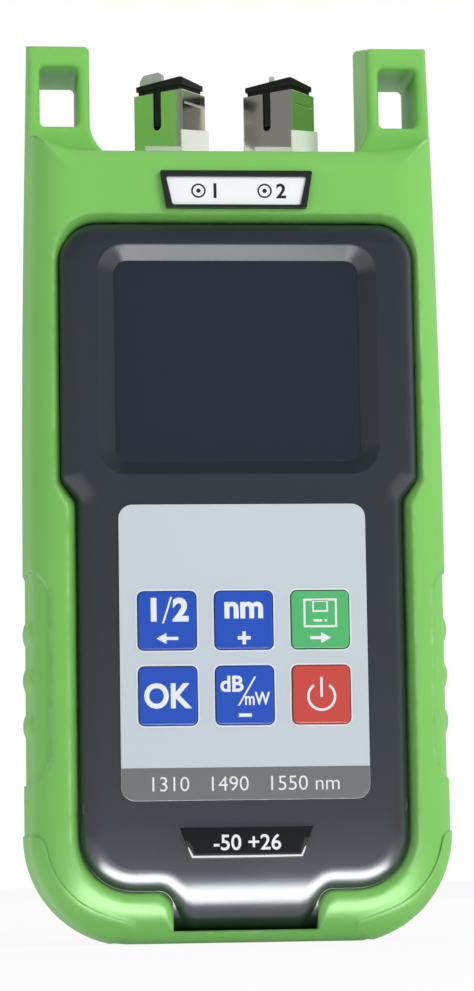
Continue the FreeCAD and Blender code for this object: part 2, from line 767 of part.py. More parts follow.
def rear_housing(envelope):
    """Rear shell with the battery compartment, the door's seat and its hinge holes."""
    rear_half = front_prism(
        box_corners(-BOOT_HALF_W, -1.0, BOOT_HALF_W, SHELF_Z), SEAM, HOUSING_BACK,
    )
    shell = envelope.common(rear_half).cut(main_cavity(SEAM, HOUSING_BACK - WALL))

    inner_half = DOOR_HALF_W - DOOR_LEDGE
    wall_half = DOOR_HALF_W + PIN_L + 1.0
    tub_bottom = COMPARTMENT_BOTTOM - COMPARTMENT_WALL - DOOR_T
    tub = front_prism(
        box_corners(-wall_half, tub_bottom, wall_half, COMPARTMENT_TOP + DOOR_T),
        COMPARTMENT_FLOOR - COMPARTMENT_WALL, HOUSING_BACK - WALL + 0.2,
    )
    compartment = front_prism(
        box_corners(-inner_half, COMPARTMENT_BOTTOM, inner_half, COMPARTMENT_TOP, 1.0),
        COMPARTMENT_FLOOR, HOUSING_BACK,
    )
    door_seat = front_prism(
        box_corners(
            -DOOR_HALF_W, DOOR_BOTTOM - DOOR_GAP, DOOR_HALF_W, DOOR_TOP + DOOR_GAP, DOOR_GAP,
        ),
        DOOR_FACE, HOUSING_BACK + 1.0,
    )
    reach = DOOR_HALF_W + PIN_L + 0.3
    hinge_holes = Part.makeCylinder(
        PIN_R + RUNNING_GAP, 2 * reach, Vector(-reach, y_at(DOOR_AXIS_DEPTH), DOOR_AXIS_Z), Vector(1, 0, 0),
    )
    finger_notch = rod(0.0, DOOR_TOP + 2.0, 5.0, HOUSING_BACK - 1.2, HOUSING_BACK + 1.0)
    shell = shell.fuse(tub).cut(compartment).cut(door_seat).cut(hinge_holes).cut(finger_notch)

    for x, z in housing_screw_places():
        shell = shell.fuse(rod(x, z, BOSS_R, SEAM, HOUSING_BACK - WALL + 0.2))
        shell = shell.cut(rod(x, z, SCREW_R + SCREW_HOLE_GAP, SEAM, HOUSING_BACK + 1.0))
        head = HOUSING_BACK - SCREW_HEAD_SINK - SCREW_HEAD_T
        shell = shell.cut(rod(x, z, SCREW_HEAD_R + SCREW_HOLE_GAP, head, HOUSING_BACK + 1.0))
    return single(shell.cut(port_holes()))


def battery_door():
    """Plate with a round lower edge, so that it swings on its two pins without lifting."""
    half = DOOR_HALF_W - DOOR_GAP
    plate = front_prism(
        [
            (-half, DOOR_AXIS_Z, 0.0),
            (half, DOOR_AXIS_Z, 0.0),
            (half, DOOR_TOP, DOOR_R),
            (-half, DOOR_TOP, DOOR_R),
        ],
        DOOR_FACE, HOUSING_BACK,
    )
    start = Vector(-half, y_at(DOOR_AXIS_DEPTH), DOOR_AXIS_Z)
    edge = Part.makeCylinder(DOOR_T / 2, 2 * half, start, Vector(1, 0, 0))
    pin_start = start - Vector(PIN_L, 0, 0)
    pins = Part.makeCylinder(PIN_R, 2 * (half + PIN_L), pin_start, Vector(1, 0, 0))
    door = plate.fuse(edge).fuse(pins)
    for i in range(GROOVE_COUNT):
        z = DOOR_TOP - 5.0 - i * GROOVE_PITCH
        groove = Part.makeCylinder(
            GROOVE_R, GROOVE_W, Vector(-GROOVE_W / 2, y_at(HOUSING_BACK), z), Vector(1, 0, 0),
        )
        door = door.cut(groove)
    return single(door)


def screw(x, z, face, head_r, head_t, shank_r, length):
    """Pan-head screw driven towards the front, with a plain shank."""
    head = rod(x, z, head_r, face - head_t, face)
    head = head.makeFillet(head_t * 0.4, edges_at_depth(head, face))
    return head.fuse(rod(x, z, shank_r, face - head_t - length, face - head_t))


# ---------------------------------------------------------------- screen and boards
def display_window():
    return front_prism(
        centred_box(SCREEN_X, SCREEN_Z, SCREEN_W, SCREEN_H, SCREEN_R), LENS_FACE, LEDGE_FACE,
    )


def lcd_panel():
    return front_prism(centred_box(SCREEN_X, SCREEN_Z, LCD_W, LCD_H), LCD_FACE, LCD_FACE + LCD_T)


def backlight_plate():
    near = LCD_FACE + LCD_T
    return front_prism(centred_box(SCREEN_X, SCREEN_Z, LCD_W, LCD_H), near, near + TRAY_T)


def main_board():
    board = front_prism(
        box_corners(-BOARD_HALF_W, BOARD_BOTTOM, BOARD_HALF_W, BOARD_TOP, BOARD_R), BOARD_FACE, BOARD_REAR,
    )
    for x, z in board_screw_places():
        board = board.cut(rod(x, z, BOARD_SCREW_R, BOARD_FACE, BOARD_REAR))
    return board


# ---------------------------------------------------------------- keypad
def keypad_label():
    """Thin printed label with a hole for each key."""
    label = front_prism(
        box_corners(-LABEL_W / 2, LABEL_BOTTOM, LABEL_W / 2, LABEL_TOP, LABEL_R), 0.0, DECK_FACE,
    )
    hole = KEY_SIZE + 2 * KEY_GAP
    for _, x, z in key_places():
        label = label.cut(front_prism(centred_box(x, z, hole, hole, KEY_R + KEY_GAP), -0.1, DECK_FACE + 0.1))
    return label


def key_cap(x, z):
    """Key with a softened face and a flange that holds it in behind the shell."""
    cap = front_prism(centred_box(x, z, KEY_SIZE, KEY_SIZE, KEY_R), -KEY_PROUD, WALL_BACK)
    cap = cap.makeFillet(0.3, edges_at_depth(cap, -KEY_PROUD))
    flange_size = KEY_SIZE + 2 * KEY_FLANGE
    return cap.fuse(front_prism(centred_box(x, z, flange_size, flange_size, KEY_R), WALL_BACK, KEY_REAR))


def switch_body(x, z):
    """Tact switch on the board, bored for its plunger."""
    body = front_prism(centred_box(x, z, SWITCH_SIZE, SWITCH_SIZE, 0.4), SWITCH_FACE, BOARD_FACE)
    return body.cut(rod(x, z, PLUNGER_R + RUNNING_GAP, SWITCH_FACE, SWITCH_FACE + SWITCH_HOLE))


def switch_plunger(x, z):
    return rod(x, z, PLUNGER_R, KEY_REAR, SWITCH_FACE + PLUNGER_IN)


# ---------------------------------------------------------------- badges
def top_badge(inset_side, inset_low, inset_high, near, far):
    width_high = BADGE_TOP_W - 2 * inset_side
    width_low = BADGE_BOTTOM_W - 2 * inset_side
    return front_prism(
        trapezoid(width_high, width_low, BADGE_BOTTOM + inset_low, BADGE_TOP - inset_high, 0.4), near, far,
    )


def top_badge_frame():
    outer = top_badge(0.0, 0.0, 0.0, BOOT_FRONT - BADGE_T, BOOT_FRONT)
    inner = top_badge(BADGE_BORDER, BADGE_LOWER_BORDER, BADGE_BORDER, BOOT_FRONT - BADGE_T, BOOT_FRONT)
    return outer.cut(inner)


def top_badge_plate():
    near = BOOT_FRONT - BADGE_PLATE_T
    return top_badge(BADGE_BORDER, BADGE_LOWER_BORDER, BADGE_BORDER, near, BOOT_FRONT)


def lower_badge():
    """Resin-domed badge with sloped edges."""
    def outline(inset):
        return trapezoid(
            LOWER_BADGE_TOP_W - 2.6 * inset, LOWER_BADGE_BOTTOM_W - 2.6 * inset,
            LOWER_BADGE_BOTTOM + inset, LOWER_BADGE_TOP - inset, 0.3,
        )

    return front_loft(outline(LOWER_BADGE_BEVEL), FRONT_MOST, outline(0.0), DECK_FACE)


# ---------------------------------------------------------------- optical ports
def port_plate_form(gap, bottom, top):
    """Block round the two ports, seen from above."""
    half_l = PLATE_LENGTH / 2 + gap
    half_d = PLATE_DEPTH / 2 + gap
    return plan_prism(
        box_corners(-half_l, PORT_DEPTH - half_d, half_l, PORT_DEPTH + half_d, PLATE_R + gap),
        bottom, top,
    )


def port_holes():
    """Holes through the housing's top wall for the barrels of the ports."""
    holes = [
        upright(x, PORT_DEPTH, BARREL_R + PORT_HOLE_GAP, HOUSING_TOP - WALL - 1.0, HOUSING_TOP + 1.0)
        for _, x in port_places()
    ]
    return holes[0].fuse(holes[1])


def port_plate():
    plate = port_plate_form(0.0, HOUSING_TOP, PLATE_TOP)
    plate = plate.makeFillet(0.8, [e for e in plate.Edges if e.BoundBox.ZMin > PLATE_TOP - 1e-3])
    for _, x in port_places():
        plate = plate.cut(upright(x, PORT_DEPTH, BARREL_R + PORT_HOLE_GAP, HOUSING_TOP, PLATE_TOP))
    return plate


def turned(shape, x):
    """Carries a shape made about the Z axis to its port."""
    shape = shape.copy()
    shape.Placement = Placement(Vector(x, y_at(PORT_DEPTH), 0), Rotation(Vector(0, 0, 1), PORT_TURN))
    return shape


def local_block(low_u, low_v, high_u, high_v, bottom, top, radius=0.0):
    """Upright block drawn about the Z axis, before it is turned."""
    corners = box_corners(low_u, low_v, high_u, high_v, radius)
    face = Part.Face(rounded_wire(corners, lambda p: Vector(p.x, p.y, bottom)))
    return face.extrude(Vector(0, 0, top - bottom))


def hood_block(inset, bottom, top, radius=0.0):
    half_w = HOOD_W / 2 - inset
    half_n = HOOD_D / 2 - inset
    return local_block(-half_w, -half_n, half_w, half_n, bottom, top, radius)


def adapter(x):
    """Square hood with a keyway, on the barrel that passes through the plate and the housing."""
    hood = hood_block(0.0, PLATE_TOP, HOOD_TOP, HOOD_R)
    hood = hood.cut(hood_block(HOOD_WALL, HOOD_FLOOR, HOOD_TOP + 1.0, 0.3))
    line_low = HOOD_TOP - LATCH_LINE_DOWN - LATCH_LINE_H / 2
    hood = hood.cut(local_block(
        HOOD_W / 2 - LATCH_LINE_DEEP, -LATCH_LINE_L / 2, HOOD_W, LATCH_LINE_L / 2,
        line_low, line_low + LATCH_LINE_H,
    ))
    half_slot = SLOT_W / 2
    slot = local_block(
        -half_slot, -HOOD_D, half_slot, -HOOD_D / 2 + 2 * HOOD_WALL, SLOT_BOTTOM + half_slot, HOOD_TOP + 1.0,
    )
    slot_end = Part.makeCylinder(
        half_slot, HOOD_D / 2 + 2 * HOOD_WALL, Vector(0, -HOOD_D, SLOT_BOTTOM + half_slot), Vector(0, 1, 0),
    )
    hood = hood.cut(slot).cut(slot_end)
    barrel = Part.makeCylinder(BARREL_R, PLATE_TOP - BARREL_BOTTOM, Vector(0, 0, BARREL_BOTTOM))
    bore = Part.makeCylinder(SLEEVE_R, HOOD_FLOOR - BARREL_BOTTOM, Vector(0, 0, BARREL_BOTTOM))
    return turned(single(hood.fuse(barrel).cut(bore)), x)


def hood_seat(x):
    """Pale moulded skirt: tall on the narrow face, low on the wide one, both rising to their far ends."""
    half_w = HOOD_W / 2
    half_d = HOOD_D / 2
    low_end = half_w - SEAT_SHARE * HOOD_W
    far = half_d + SEAT_PROUD
    near = -half_d - SEAT_PROUD

    def across(p):
        return Vector(half_w, p.x, p.y)

    def along(p):
        return Vector(p.x, near, p.y)

    tall_profile = [
        (near, PLATE_TOP, 0.0), (far, PLATE_TOP, 0.0), (far, SEAT_HIGH + SEAT_RISE, 0.0), (near, SEAT_HIGH, 0.0),
    ]
    low_profile = [
        (low_end, PLATE_TOP, 0.0), (half_w, PLATE_TOP, 0.0),
        (half_w, SEAT_LOW, 0.0), (low_end, SEAT_LOW + SEAT_RISE, 0.0),
    ]
    tall = Part.Face(rounded_wire(tall_profile, across)).extrude(Vector(SEAT_PROUD, 0, 0))
    low = Part.Face(rounded_wire(low_profile, along)).extrude(Vector(0, SEAT_PROUD, 0))
    back = local_block(half_w - SEAT_RETURN, half_d, half_w, far, PLATE_TOP, SEAT_HIGH + SEAT_RISE)
    hood = hood_block(0.0, PLATE_TOP, HOOD_TOP, HOOD_R)
    return turned(single(tall.fuse(low).fuse(back).cut(hood)), x)


def port_nut(x):
    """Hexagon nut that clamps the plate to the housing from inside."""
    corners = []
    for i in range(6):
        angle = math.radians(60 * i)
        corners.append((NUT_ACROSS / math.sqrt(3) * math.cos(angle), NUT_ACROSS / math.sqrt(3) * math.sin(angle), 0))
    bottom = HOUSING_TOP - WALL - NUT_T
    face = Part.Face(rounded_wire(corners, lambda p: Vector(p.x, p.y, bottom)))
    nut = face.extrude(Vector(0, 0, NUT_T))
    return turned(nut.cut(Part.makeCylinder(BARREL_R, NUT_T, Vector(0, 0, bottom))), x)


def ferrule_sleeve(x):
    sleeve = upright(x, PORT_DEPTH, SLEEVE_R, BARREL_BOTTOM, SLEEVE_TOP)
    return sleeve.cut(upright(x, PORT_DEPTH, SLEEVE_BORE_R, BARREL_BOTTOM, SLEEVE_TOP))


def detector_can(x):
    """Photodiode can with its rim against the barrel and three leads."""
    top = BARREL_BOTTOM
    can = upright(x, PORT_DEPTH, CAN_RIM_R, top - CAN_RIM_T, top)
    can = can.fuse(upright(x, PORT_DEPTH, CAN_R, top - CAN_H, top))
    for i in range(3):
        angle = math.radians(120 * i + 90)
        lead_x = x + LEAD_CIRCLE_R * math.cos(angle)
        lead_depth = PORT_DEPTH + LEAD_CIRCLE_R * math.sin(angle)
        can = can.fuse(upright(lead_x, lead_depth, LEAD_R, top - CAN_H - LEAD_L, top - CAN_H))
    return can


def plug_flange():
    """Soft flange, bent down on both sides of its diagonal from the near corner to the far one."""
    half_w = HOOD_W / 2
    half_d = HOOD_D / 2
    reach = math.hypot(half_w, half_d)
    droop = PLUG_SAG * reach ** 2 / (HOOD_W * HOOD_D / 2)
    ridge = HOOD_TOP + PLUG_NECK + PLUG_FLANGE_T + PLUG_SAG / 2
    low = HOOD_TOP + PLUG_NECK - PLUG_SAG / 2
    along = Vector(half_w, -half_d, 0).normalize()
    across = Vector(half_d, half_w, 0).normalize()
    profile = [
        (-reach, ridge - droop, 0.0), (-reach, low, 0.0), (reach, low, 0.0), (reach, ridge - droop, 0.0),
        (0.0, ridge, 0.0),
    ]
    face = Part.Face(rounded_wire(profile, lambda p: across * p.x - along * reach + Vector(0, 0, p.y)))
    return hood_block(PLUG_FLANGE_IN, low, ridge, 0.6).common(face.extrude(along * 2 * reach))


def dust_plug(x):
    """Black plug that fills the hood, with a rib in the keyway and a flange on top."""
    body_in = HOOD_WALL + PLUG_GAP
    body = hood_block(body_in, HOOD_TOP - PLUG_DEPTH, HOOD_TOP)
    rib_half = SLOT_W / 2 - PLUG_GAP
    rib = local_block(
        -rib_half, -HOOD_D / 2 + PLUG_FLANGE_IN, rib_half, -HOOD_D / 2 + body_in + 0.5,
        SLOT_BOTTOM + SLOT_W / 2, HOOD_TOP,
    )
    neck = hood_block(PLUG_NECK_IN, HOOD_TOP, HOOD_TOP + PLUG_NECK, 0.3)
    plug = body.fuse(rib).fuse(neck).fuse(plug_flange())
    bore_bottom = HOOD_TOP - PLUG_DEPTH
    bore = Part.makeCylinder(PLUG_BORE_R, SLEEVE_TOP + 1.0 - bore_bottom, Vector(0, 0, bore_bottom))
    return turned(single(plug.cut(bore)), x)


def plug_tab(side, x):
    """Clear soft tab that the plug is pulled by."""
    length, height, middle_u, middle_v, turn = TABS[side]
    bottom = HOOD_TOP + PLUG_NECK
    top = bottom + PLUG_FLANGE_T + height
    corners = [
        (-length / 2, bottom, 0.0),
        (length / 2, bottom, 0.0),
        (length / 2, top - height / 4, 0.5),
        (length / 3, top, 0.8),
        (-length / 3, top - 0.2, 0.8),
        (-length / 2, top - height / 2, 0.5),
    ]
    face = Part.Face(rounded_wire(corners, lambda p: Vector(p.x, -TAB_T / 2, p.y)))
    tab = face.extrude(Vector(0, TAB_T, 0))
    tab.Placement = Placement(Vector(middle_u, middle_v, 0), Rotation(Vector(0, 0, 1), turn))
    return turned(single(tab.cut(plug_flange())), x)


# ---------------------------------------------------------------- batteries
def cell_places():
    """Centre of each cell and which way up it lies."""
    pitch = 2 * CELL_R + CELL_GAP
    for i, name in enumerate(("left", "middle", "right")):
        yield name, (i - 1) * pitch, i % 2 == 0


def battery_cell(x, nub_up):
    """Cylindrical cell with its positive nub."""
    bottom = COMPARTMENT_BOTTOM + SPRING_ROOM + (0.0 if nub_up else CELL_NUB_H)
    can = upright(x, CELL_DEPTH, CELL_R, bottom, bottom + CELL_L)
    can = can.makeFillet(0.5, [e for e in can.Edges if e.Curve.TypeId == "Part::GeomCircle"])
    nub_bottom = bottom + CELL_L if nub_up else bottom - CELL_NUB_H
    return can.fuse(upright(x, CELL_DEPTH, CELL_NUB_R, nub_bottom, nub_bottom + CELL_NUB_H))


def battery_contacts():
    """Contact plates at both ends of the compartment, with a conical spring stack at each flat end."""
    solids = []
    for _, x, nub_up in cell_places():
        for at_top in (False, True):
            wall = COMPARTMENT_TOP if at_top else COMPARTMENT_BOTTOM
            inward = -1 if at_top else 1
            plate_low = min(wall, wall + inward * CONTACT_T)
            plate = Part.makeBox(
                CONTACT_W, CONTACT_W, CONTACT_T,
                Vector(x - CONTACT_W / 2, y_at(CELL_DEPTH) - CONTACT_W / 2, plate_low),
            )
            is_nub = nub_up == at_top
            foot_r = CELL_NUB_R if is_nub else SPRING_FOOT_R
            start = Vector(x, y_at(CELL_DEPTH), wall + inward * CONTACT_T)
            cone = Part.makeCone(foot_r, SPRING_TIP_R, SPRING_ROOM - CONTACT_T, start, Vector(0, 0, inward))
            solids.append(plate.fuse(cone))
    return Part.makeCompound(solids)


# ---------------------------------------------------------------- build
def main():
    os.makedirs("parts", exist_ok=True)
    envelope = housing_body().fuse(deck())
    export("protective_boot", protective_boot(envelope))
    export("front_housing", front_housing(envelope))
    export("rear_housing", rear_housing(envelope))
    export("battery_door", battery_door())
    export("display_window", display_window())
    export("lcd_panel", lcd_panel())
    export("backlight_plate", backlight_plate())
    export("main_board", main_board())
    export("keypad_label", keypad_label())
    for name, x, z in key_places():
        export("key_" + name, key_cap(x, z))
        export("switch_" + name, switch_body(x, z))
        export("plunger_" + name, switch_plunger(x, z))
    export("top_badge_frame", top_badge_frame())
    export("top_badge_plate", top_badge_plate())
    export("lower_badge", lower_badge())
    export("port_plate", port_plate())
    for side, x in port_places():
        export("adapter_" + side, adapter(x))
        export("hood_seat_" + side, hood_seat(x))
        export("port_nut_" + side, port_nut(x))
        export("ferrule_sleeve_" + side, ferrule_sleeve(x))
        export("detector_can_" + side, detector_can(x))
        export("dust_plug_" + side, dust_plug(x))
        export("plug_tab_" + side, plug_tab(side, x))
    for name, x, nub_up in cell_places():
        export("cell_" + name, battery_cell(x, nub_up))
    export("battery_contacts", battery_contacts())
    housing_face = HOUSING_BACK - SCREW_HEAD_SINK
    export("housing_screws", Part.makeCompound([
        screw(x, z, housing_face, SCREW_HEAD_R, SCREW_HEAD_T, SCREW_R, SCREW_L)
        for x, z in housing_screw_places()
    ]))
    board_head = BOARD_REAR + BOARD_SCREW_HEAD_T
    export("board_screws", Part.makeCompound([
        screw(x, z, board_head, BOARD_SCREW_HEAD_R, BOARD_SCREW_HEAD_T, BOARD_SCREW_R, BOARD_SCREW_L)
        for x, z in board_screw_places()
    ]))


main()
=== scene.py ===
"""Looks of the handheld optical power meter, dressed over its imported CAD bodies.

Metres, in the row frame: X to the right, Z up, the keypad side faces -Y.
"""

import json
import math

import bmesh
import bpy
from mathutils import Matrix, Vector


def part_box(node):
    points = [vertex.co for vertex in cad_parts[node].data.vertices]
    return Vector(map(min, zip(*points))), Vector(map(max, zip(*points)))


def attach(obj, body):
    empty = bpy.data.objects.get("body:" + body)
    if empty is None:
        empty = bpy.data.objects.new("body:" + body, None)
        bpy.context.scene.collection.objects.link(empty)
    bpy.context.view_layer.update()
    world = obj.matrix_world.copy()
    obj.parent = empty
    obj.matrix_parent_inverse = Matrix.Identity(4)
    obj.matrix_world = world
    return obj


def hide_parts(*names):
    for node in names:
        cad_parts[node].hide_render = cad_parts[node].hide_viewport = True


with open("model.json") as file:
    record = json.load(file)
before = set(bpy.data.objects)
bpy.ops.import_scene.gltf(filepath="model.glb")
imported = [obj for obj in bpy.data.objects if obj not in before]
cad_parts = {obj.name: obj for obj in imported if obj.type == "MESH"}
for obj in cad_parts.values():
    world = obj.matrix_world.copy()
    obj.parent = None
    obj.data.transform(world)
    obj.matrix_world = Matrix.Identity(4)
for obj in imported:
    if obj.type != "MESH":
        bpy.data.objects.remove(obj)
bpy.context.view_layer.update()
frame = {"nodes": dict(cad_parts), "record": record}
nodes = frame["nodes"]

# Shared effects of the finishes
BEVEL_SAMPLES = 8
# Edge mask: rubbed wear on most finishes, and a painted highlight along the boot's edges
EDGE_MASK_STARTS = 0.985  # cosine between the softened normal and the flat one
EDGE_MASK_FULL = 0.86
EDGE_MASK_PATCH_SCALE = 260.0  # per metre
EDGE_MASK_PATCH_FROM = 0.35
EDGE_MASK_PATCH_TO = 0.7
DRIFT_FROM = 0.3
DRIFT_TO = 0.7
RUB_POLISH = 0.12  # roughness that full rubbing takes away

# Print on the keys, the label and the badges
KEY_PRINT = 0.00003  # thickness
THIN_PRINT = 0.00002
KEY_PRINT_GAP = 0.000005  # clear of the surface below
PRINT_GAP = 0.000002
OVER_STRIP_GAP = 0.000023  # clear of the strip, which is print itself

# Round shapes
DISC_SIDES = 32
ARC_STEPS = 28
CORNER_STEPS = 5
STRIP_CORNER_STEPS = 8
LETTER_STEPS = 4  # along each curve of a letter

# Marks on the keys
SLASH_WIDE = 0.0004
SIGN_LONG = 0.0026  # plus and minus
SIGN_WIDE = 0.0007
SIGN_GAP = 0.000005  # between a plus's bar and its arms
ARROW_HEAD_LONG = 0.0020
ARROW_HEAD_WIDE = 0.0022
ARROW_SHAFT_WIDE = 0.00064
POWER_LINE = 0.0005
POWER_RADIUS = 0.0027
POWER_RING = (125, 415)  # degrees, from one end of the ring round its foot to the other
DISK_SIZE = (0.0068, 0.0058)
DISK_LINE = 0.0006
SHUTTER_SIZE = (0.0032, 0.0024)
SHUTTER_LINE = 0.0005

# Lines and the strip on the label
KEY_FLANGE = 0.0011  # hidden under the label, on each side of a key
BORDER_BEYOND_KEY = 0.0010
BORDER_CORNER = 0.0016
BORDER_LINE = 0.0003
STRIP_HIGH = 0.00649
STRIP_INSET = 0.00005
STRIP_CORNER = 0.0028
STRIP_FIGURES_UP = 0.0033  # from the label's foot
STRIP_FIGURE_SIZE = 0.0042
STRIP_FIGURE_BOLD = -0.00002  # finer than the letters are drawn

# Badges
PORT_MARK_OUT = 0.0068  # from the plate's middle
PORT_FIGURE_SHIFT = 0.0024
PORT_FIGURE_SIZE = 0.0042
PORT_FIGURE_BOLD = 0.00010
PORT_RING_SHIFT = -0.0010
PORT_RING_RADIUS = 0.0015
PORT_RING_LINE = 0.00035
PORT_DOT_RADIUS = 0.00045
BADGE_FOOT_SHARE = 0.84  # of the width of its top
RANGE_FIGURE_SIZE = 0.0043
RANGE_FIGURE_BOLD = 0.00006
RANGE_FIGURES_UP = 0.0001  # from the badge's middle
DOME_EDGE = 0.0010
DOME_STEPS = 7
FLAT_ENOUGH = 0.999  # cosine between a face's normal and the viewer's way
SAME_DEPTH = 0.00001

# Housing screws
SCREW_HEAD_RADIUS = 0.0029
CROSS_LONG = 0.0030
CROSS_WIDE = 0.0007
CROSS_THICK = 0.00003
CROSS_SUNK = 0.00001  # of the plate's back, below the top of the head
CROSS_TURN = 20  # degrees
CROSS_TURN_PER_METRE = 900  # so that left and right screws stop at different turns

# Floor and surround
FLOOR_HALF = 6.0
FLOOR_TONE = 0.90
FLOOR_ROUGHNESS = 0.9
FLOOR_GLOW_SHARE = 0.90  # the rest keeps the object's shadow
WHITE = (1.0, 1.0, 1.0, 1.0)
WORLD_LIGHT = 0.48
FRONT_GLOW = 0.24  # what the front's gloss mirrors
BACK_GLOW = 0.85  # what the sides' gloss mirrors
DIM_AXIS = (0.4, 0.92, 0.0)  # the surround brightens along this way
DIM_FROM = -0.20
DIM_TO = 0.95

# Lamps: name, place, what it looks at, width, height, watts, the rays that pass it by
MIDDLE = (0, 0, 0.1)
LAMPS = (
    ("key_right_high", (0.75, -0.80, 0.70), MIDDLE, 0.7, 0.7, 8.6, "visible_glossy"),
    ("fill_left", (-0.97, -0.52, 0.35), MIDDLE, 0.9, 0.9, 2.0, "visible_glossy"),
    ("back_soft", (0.20, 1.00, 0.60), MIDDLE, 1.0, 1.0, 2.4, "visible_glossy"),
    (
        "low_front", (0.0, -0.0318, 0.003), (0, -0.0318, 0.2), 0.085, 0.020, 0.078,
        "visible_diffuse",
    ),
)

# Camera
CAMERA_LENS = 116.25  # millimetres
CAMERA_SENSOR = 36.0
CAMERA_PLACE = (-0.05822, -0.6599, 0.01279)
CAMERA_YAW = -5.116  # degrees
CAMERA_PITCH = 6.827
CAMERA_ROLL = 0.876
CAMERA_NEAR = 0.01
CAMERA_FAR = 50.0

# Turns that stand a flat drawing up
TO_FRONT = Matrix.Rotation(math.radians(90), 4, "X")
TO_BACK = Matrix.Rotation(math.radians(-90), 4, "X")


def linear(tone):
    """Scene-linear colour of a display colour given in 0 to 255, by the sRGB curve."""
    out = []
    for value in tone:
        v = value / 255.0
        out.append(v / 12.92 if v <= 0.04045 else ((v + 0.055) / 1.055) ** 2.4)
    return (*out, 1.0)


# ---------------------------------------------------------------- node helpers
def link(tree, source, target):
    """Feeds an input from an output."""
    tree.links.new(source, target)


def add(tree, kind, values=None, **settings):
    """New node with its settings; values holds the inputs that nothing feeds."""
    node = tree.nodes.new(kind)
    for key, value in settings.items():
        setattr(node, key, value)
    for label, value in (values or {}).items():
        node.inputs[label].default_value = value
    return node


def add_group(tree, group, values=None):
    """One use of a shared effect."""
    return add(tree, "ShaderNodeGroup", values, node_tree=group)


def group_tree(name, inputs, outputs):
    """Empty node group with named sockets; returns the tree, its input and its output node."""
    tree = bpy.data.node_groups.new(name, "ShaderNodeTree")
    for label, kind, default in inputs:
        socket = tree.interface.new_socket(name=label, in_out="INPUT", socket_type=kind)
        if default is not None:
            socket.default_value = default
    for label, kind in outputs:
        tree.interface.new_socket(name=label, in_out="OUTPUT", socket_type=kind)
    return tree, tree.nodes.new("NodeGroupInput"), tree.nodes.new("NodeGroupOutput")


def make_moulded_grain():
    """Fine pebble of a moulded surface, with a slow drift of tone over it."""
    tree, given, result = group_tree(
        "moulded_grain",
        [
            ("Vector", "NodeSocketVector", None),
            ("Grain Size", "NodeSocketFloat", 0.0004),
            ("Drift Size", "NodeSocketFloat", 0.03),
        ],
        [("Height", "NodeSocketFloat"), ("Drift", "NodeSocketFloat")],
    )
    grain_scale = add(tree, "ShaderNodeMath", {0: 1.0}, operation="DIVIDE")
    link(tree, given.outputs["Grain Size"], grain_scale.inputs[1])
    drift_scale = add(tree, "ShaderNodeMath", {0: 1.0}, operation="DIVIDE")
    link(tree, given.outputs["Drift Size"], drift_scale.inputs[1])
    fine = add(tree, "ShaderNodeTexNoise", {"Detail": 2.0, "Roughness": 0.6})
    cells = add(tree, "ShaderNodeTexVoronoi", {"Smoothness": 0.6}, feature="SMOOTH_F1")
    for grain in (fine, cells):
        link(tree, given.outputs["Vector"], grain.inputs["Vector"])
        link(tree, grain_scale.outputs[0], grain.inputs["Scale"])
    both = add(tree, "ShaderNodeMath", operation="ADD")
    link(tree, fine.outputs["Fac"], both.inputs[0])
    link(tree, cells.outputs["Distance"], both.inputs[1])
    link(tree, both.outputs[0], result.inputs["Height"])
    slow = add(tree, "ShaderNodeTexNoise", {"Detail": 2.0})
    link(tree, given.outputs["Vector"], slow.inputs["Vector"])
    link(tree, drift_scale.outputs[0], slow.inputs["Scale"])
    link(tree, slow.outputs["Fac"], result.inputs["Drift"])
    return tree


def make_edge_wear_and_highlight():
    """Mask of the edges, from how far the softened normal turns: rubbed wear on most finishes,
    and on the boot a painted highlight.
    """
    tree, given, result = group_tree(
        "edge_wear_and_highlight",
        [
            ("Soft Normal", "NodeSocketVector", None),
            ("Vector", "NodeSocketVector", None),
            ("Amount", "NodeSocketFloat", 0.5),
        ],
        [("Mask", "NodeSocketFloat")],
    )
    flat = add(tree, "ShaderNodeNewGeometry")
    turn = add(tree, "ShaderNodeVectorMath", operation="DOT_PRODUCT")
    link(tree, given.outputs["Soft Normal"], turn.inputs[0])
    link(tree, flat.outputs["Normal"], turn.inputs[1])
    spread = add(tree, "ShaderNodeMapRange", {"From Min": EDGE_MASK_STARTS, "From Max": EDGE_MASK_FULL})
    link(tree, turn.outputs["Value"], spread.inputs["Value"])
    patches = add(tree, "ShaderNodeTexNoise", {"Scale": EDGE_MASK_PATCH_SCALE, "Detail": 3.0})
    link(tree, given.outputs["Vector"], patches.inputs["Vector"])
    broken = add(
        tree, "ShaderNodeMapRange", {"From Min": EDGE_MASK_PATCH_FROM, "From Max": EDGE_MASK_PATCH_TO},
    )
    link(tree, patches.outputs["Fac"], broken.inputs["Value"])
    worn = add(tree, "ShaderNodeMath", operation="MULTIPLY")
    link(tree, spread.outputs["Result"], worn.inputs[0])
    link(tree, broken.outputs["Result"], worn.inputs[1])
    scaled = add(tree, "ShaderNodeMath", operation="MULTIPLY", use_clamp=True)
    link(tree, worn.outputs[0], scaled.inputs[0])
    link(tree, given.outputs["Amount"], scaled.inputs[1])
    link(tree, scaled.outputs[0], result.inputs["Mask"])
    return tree


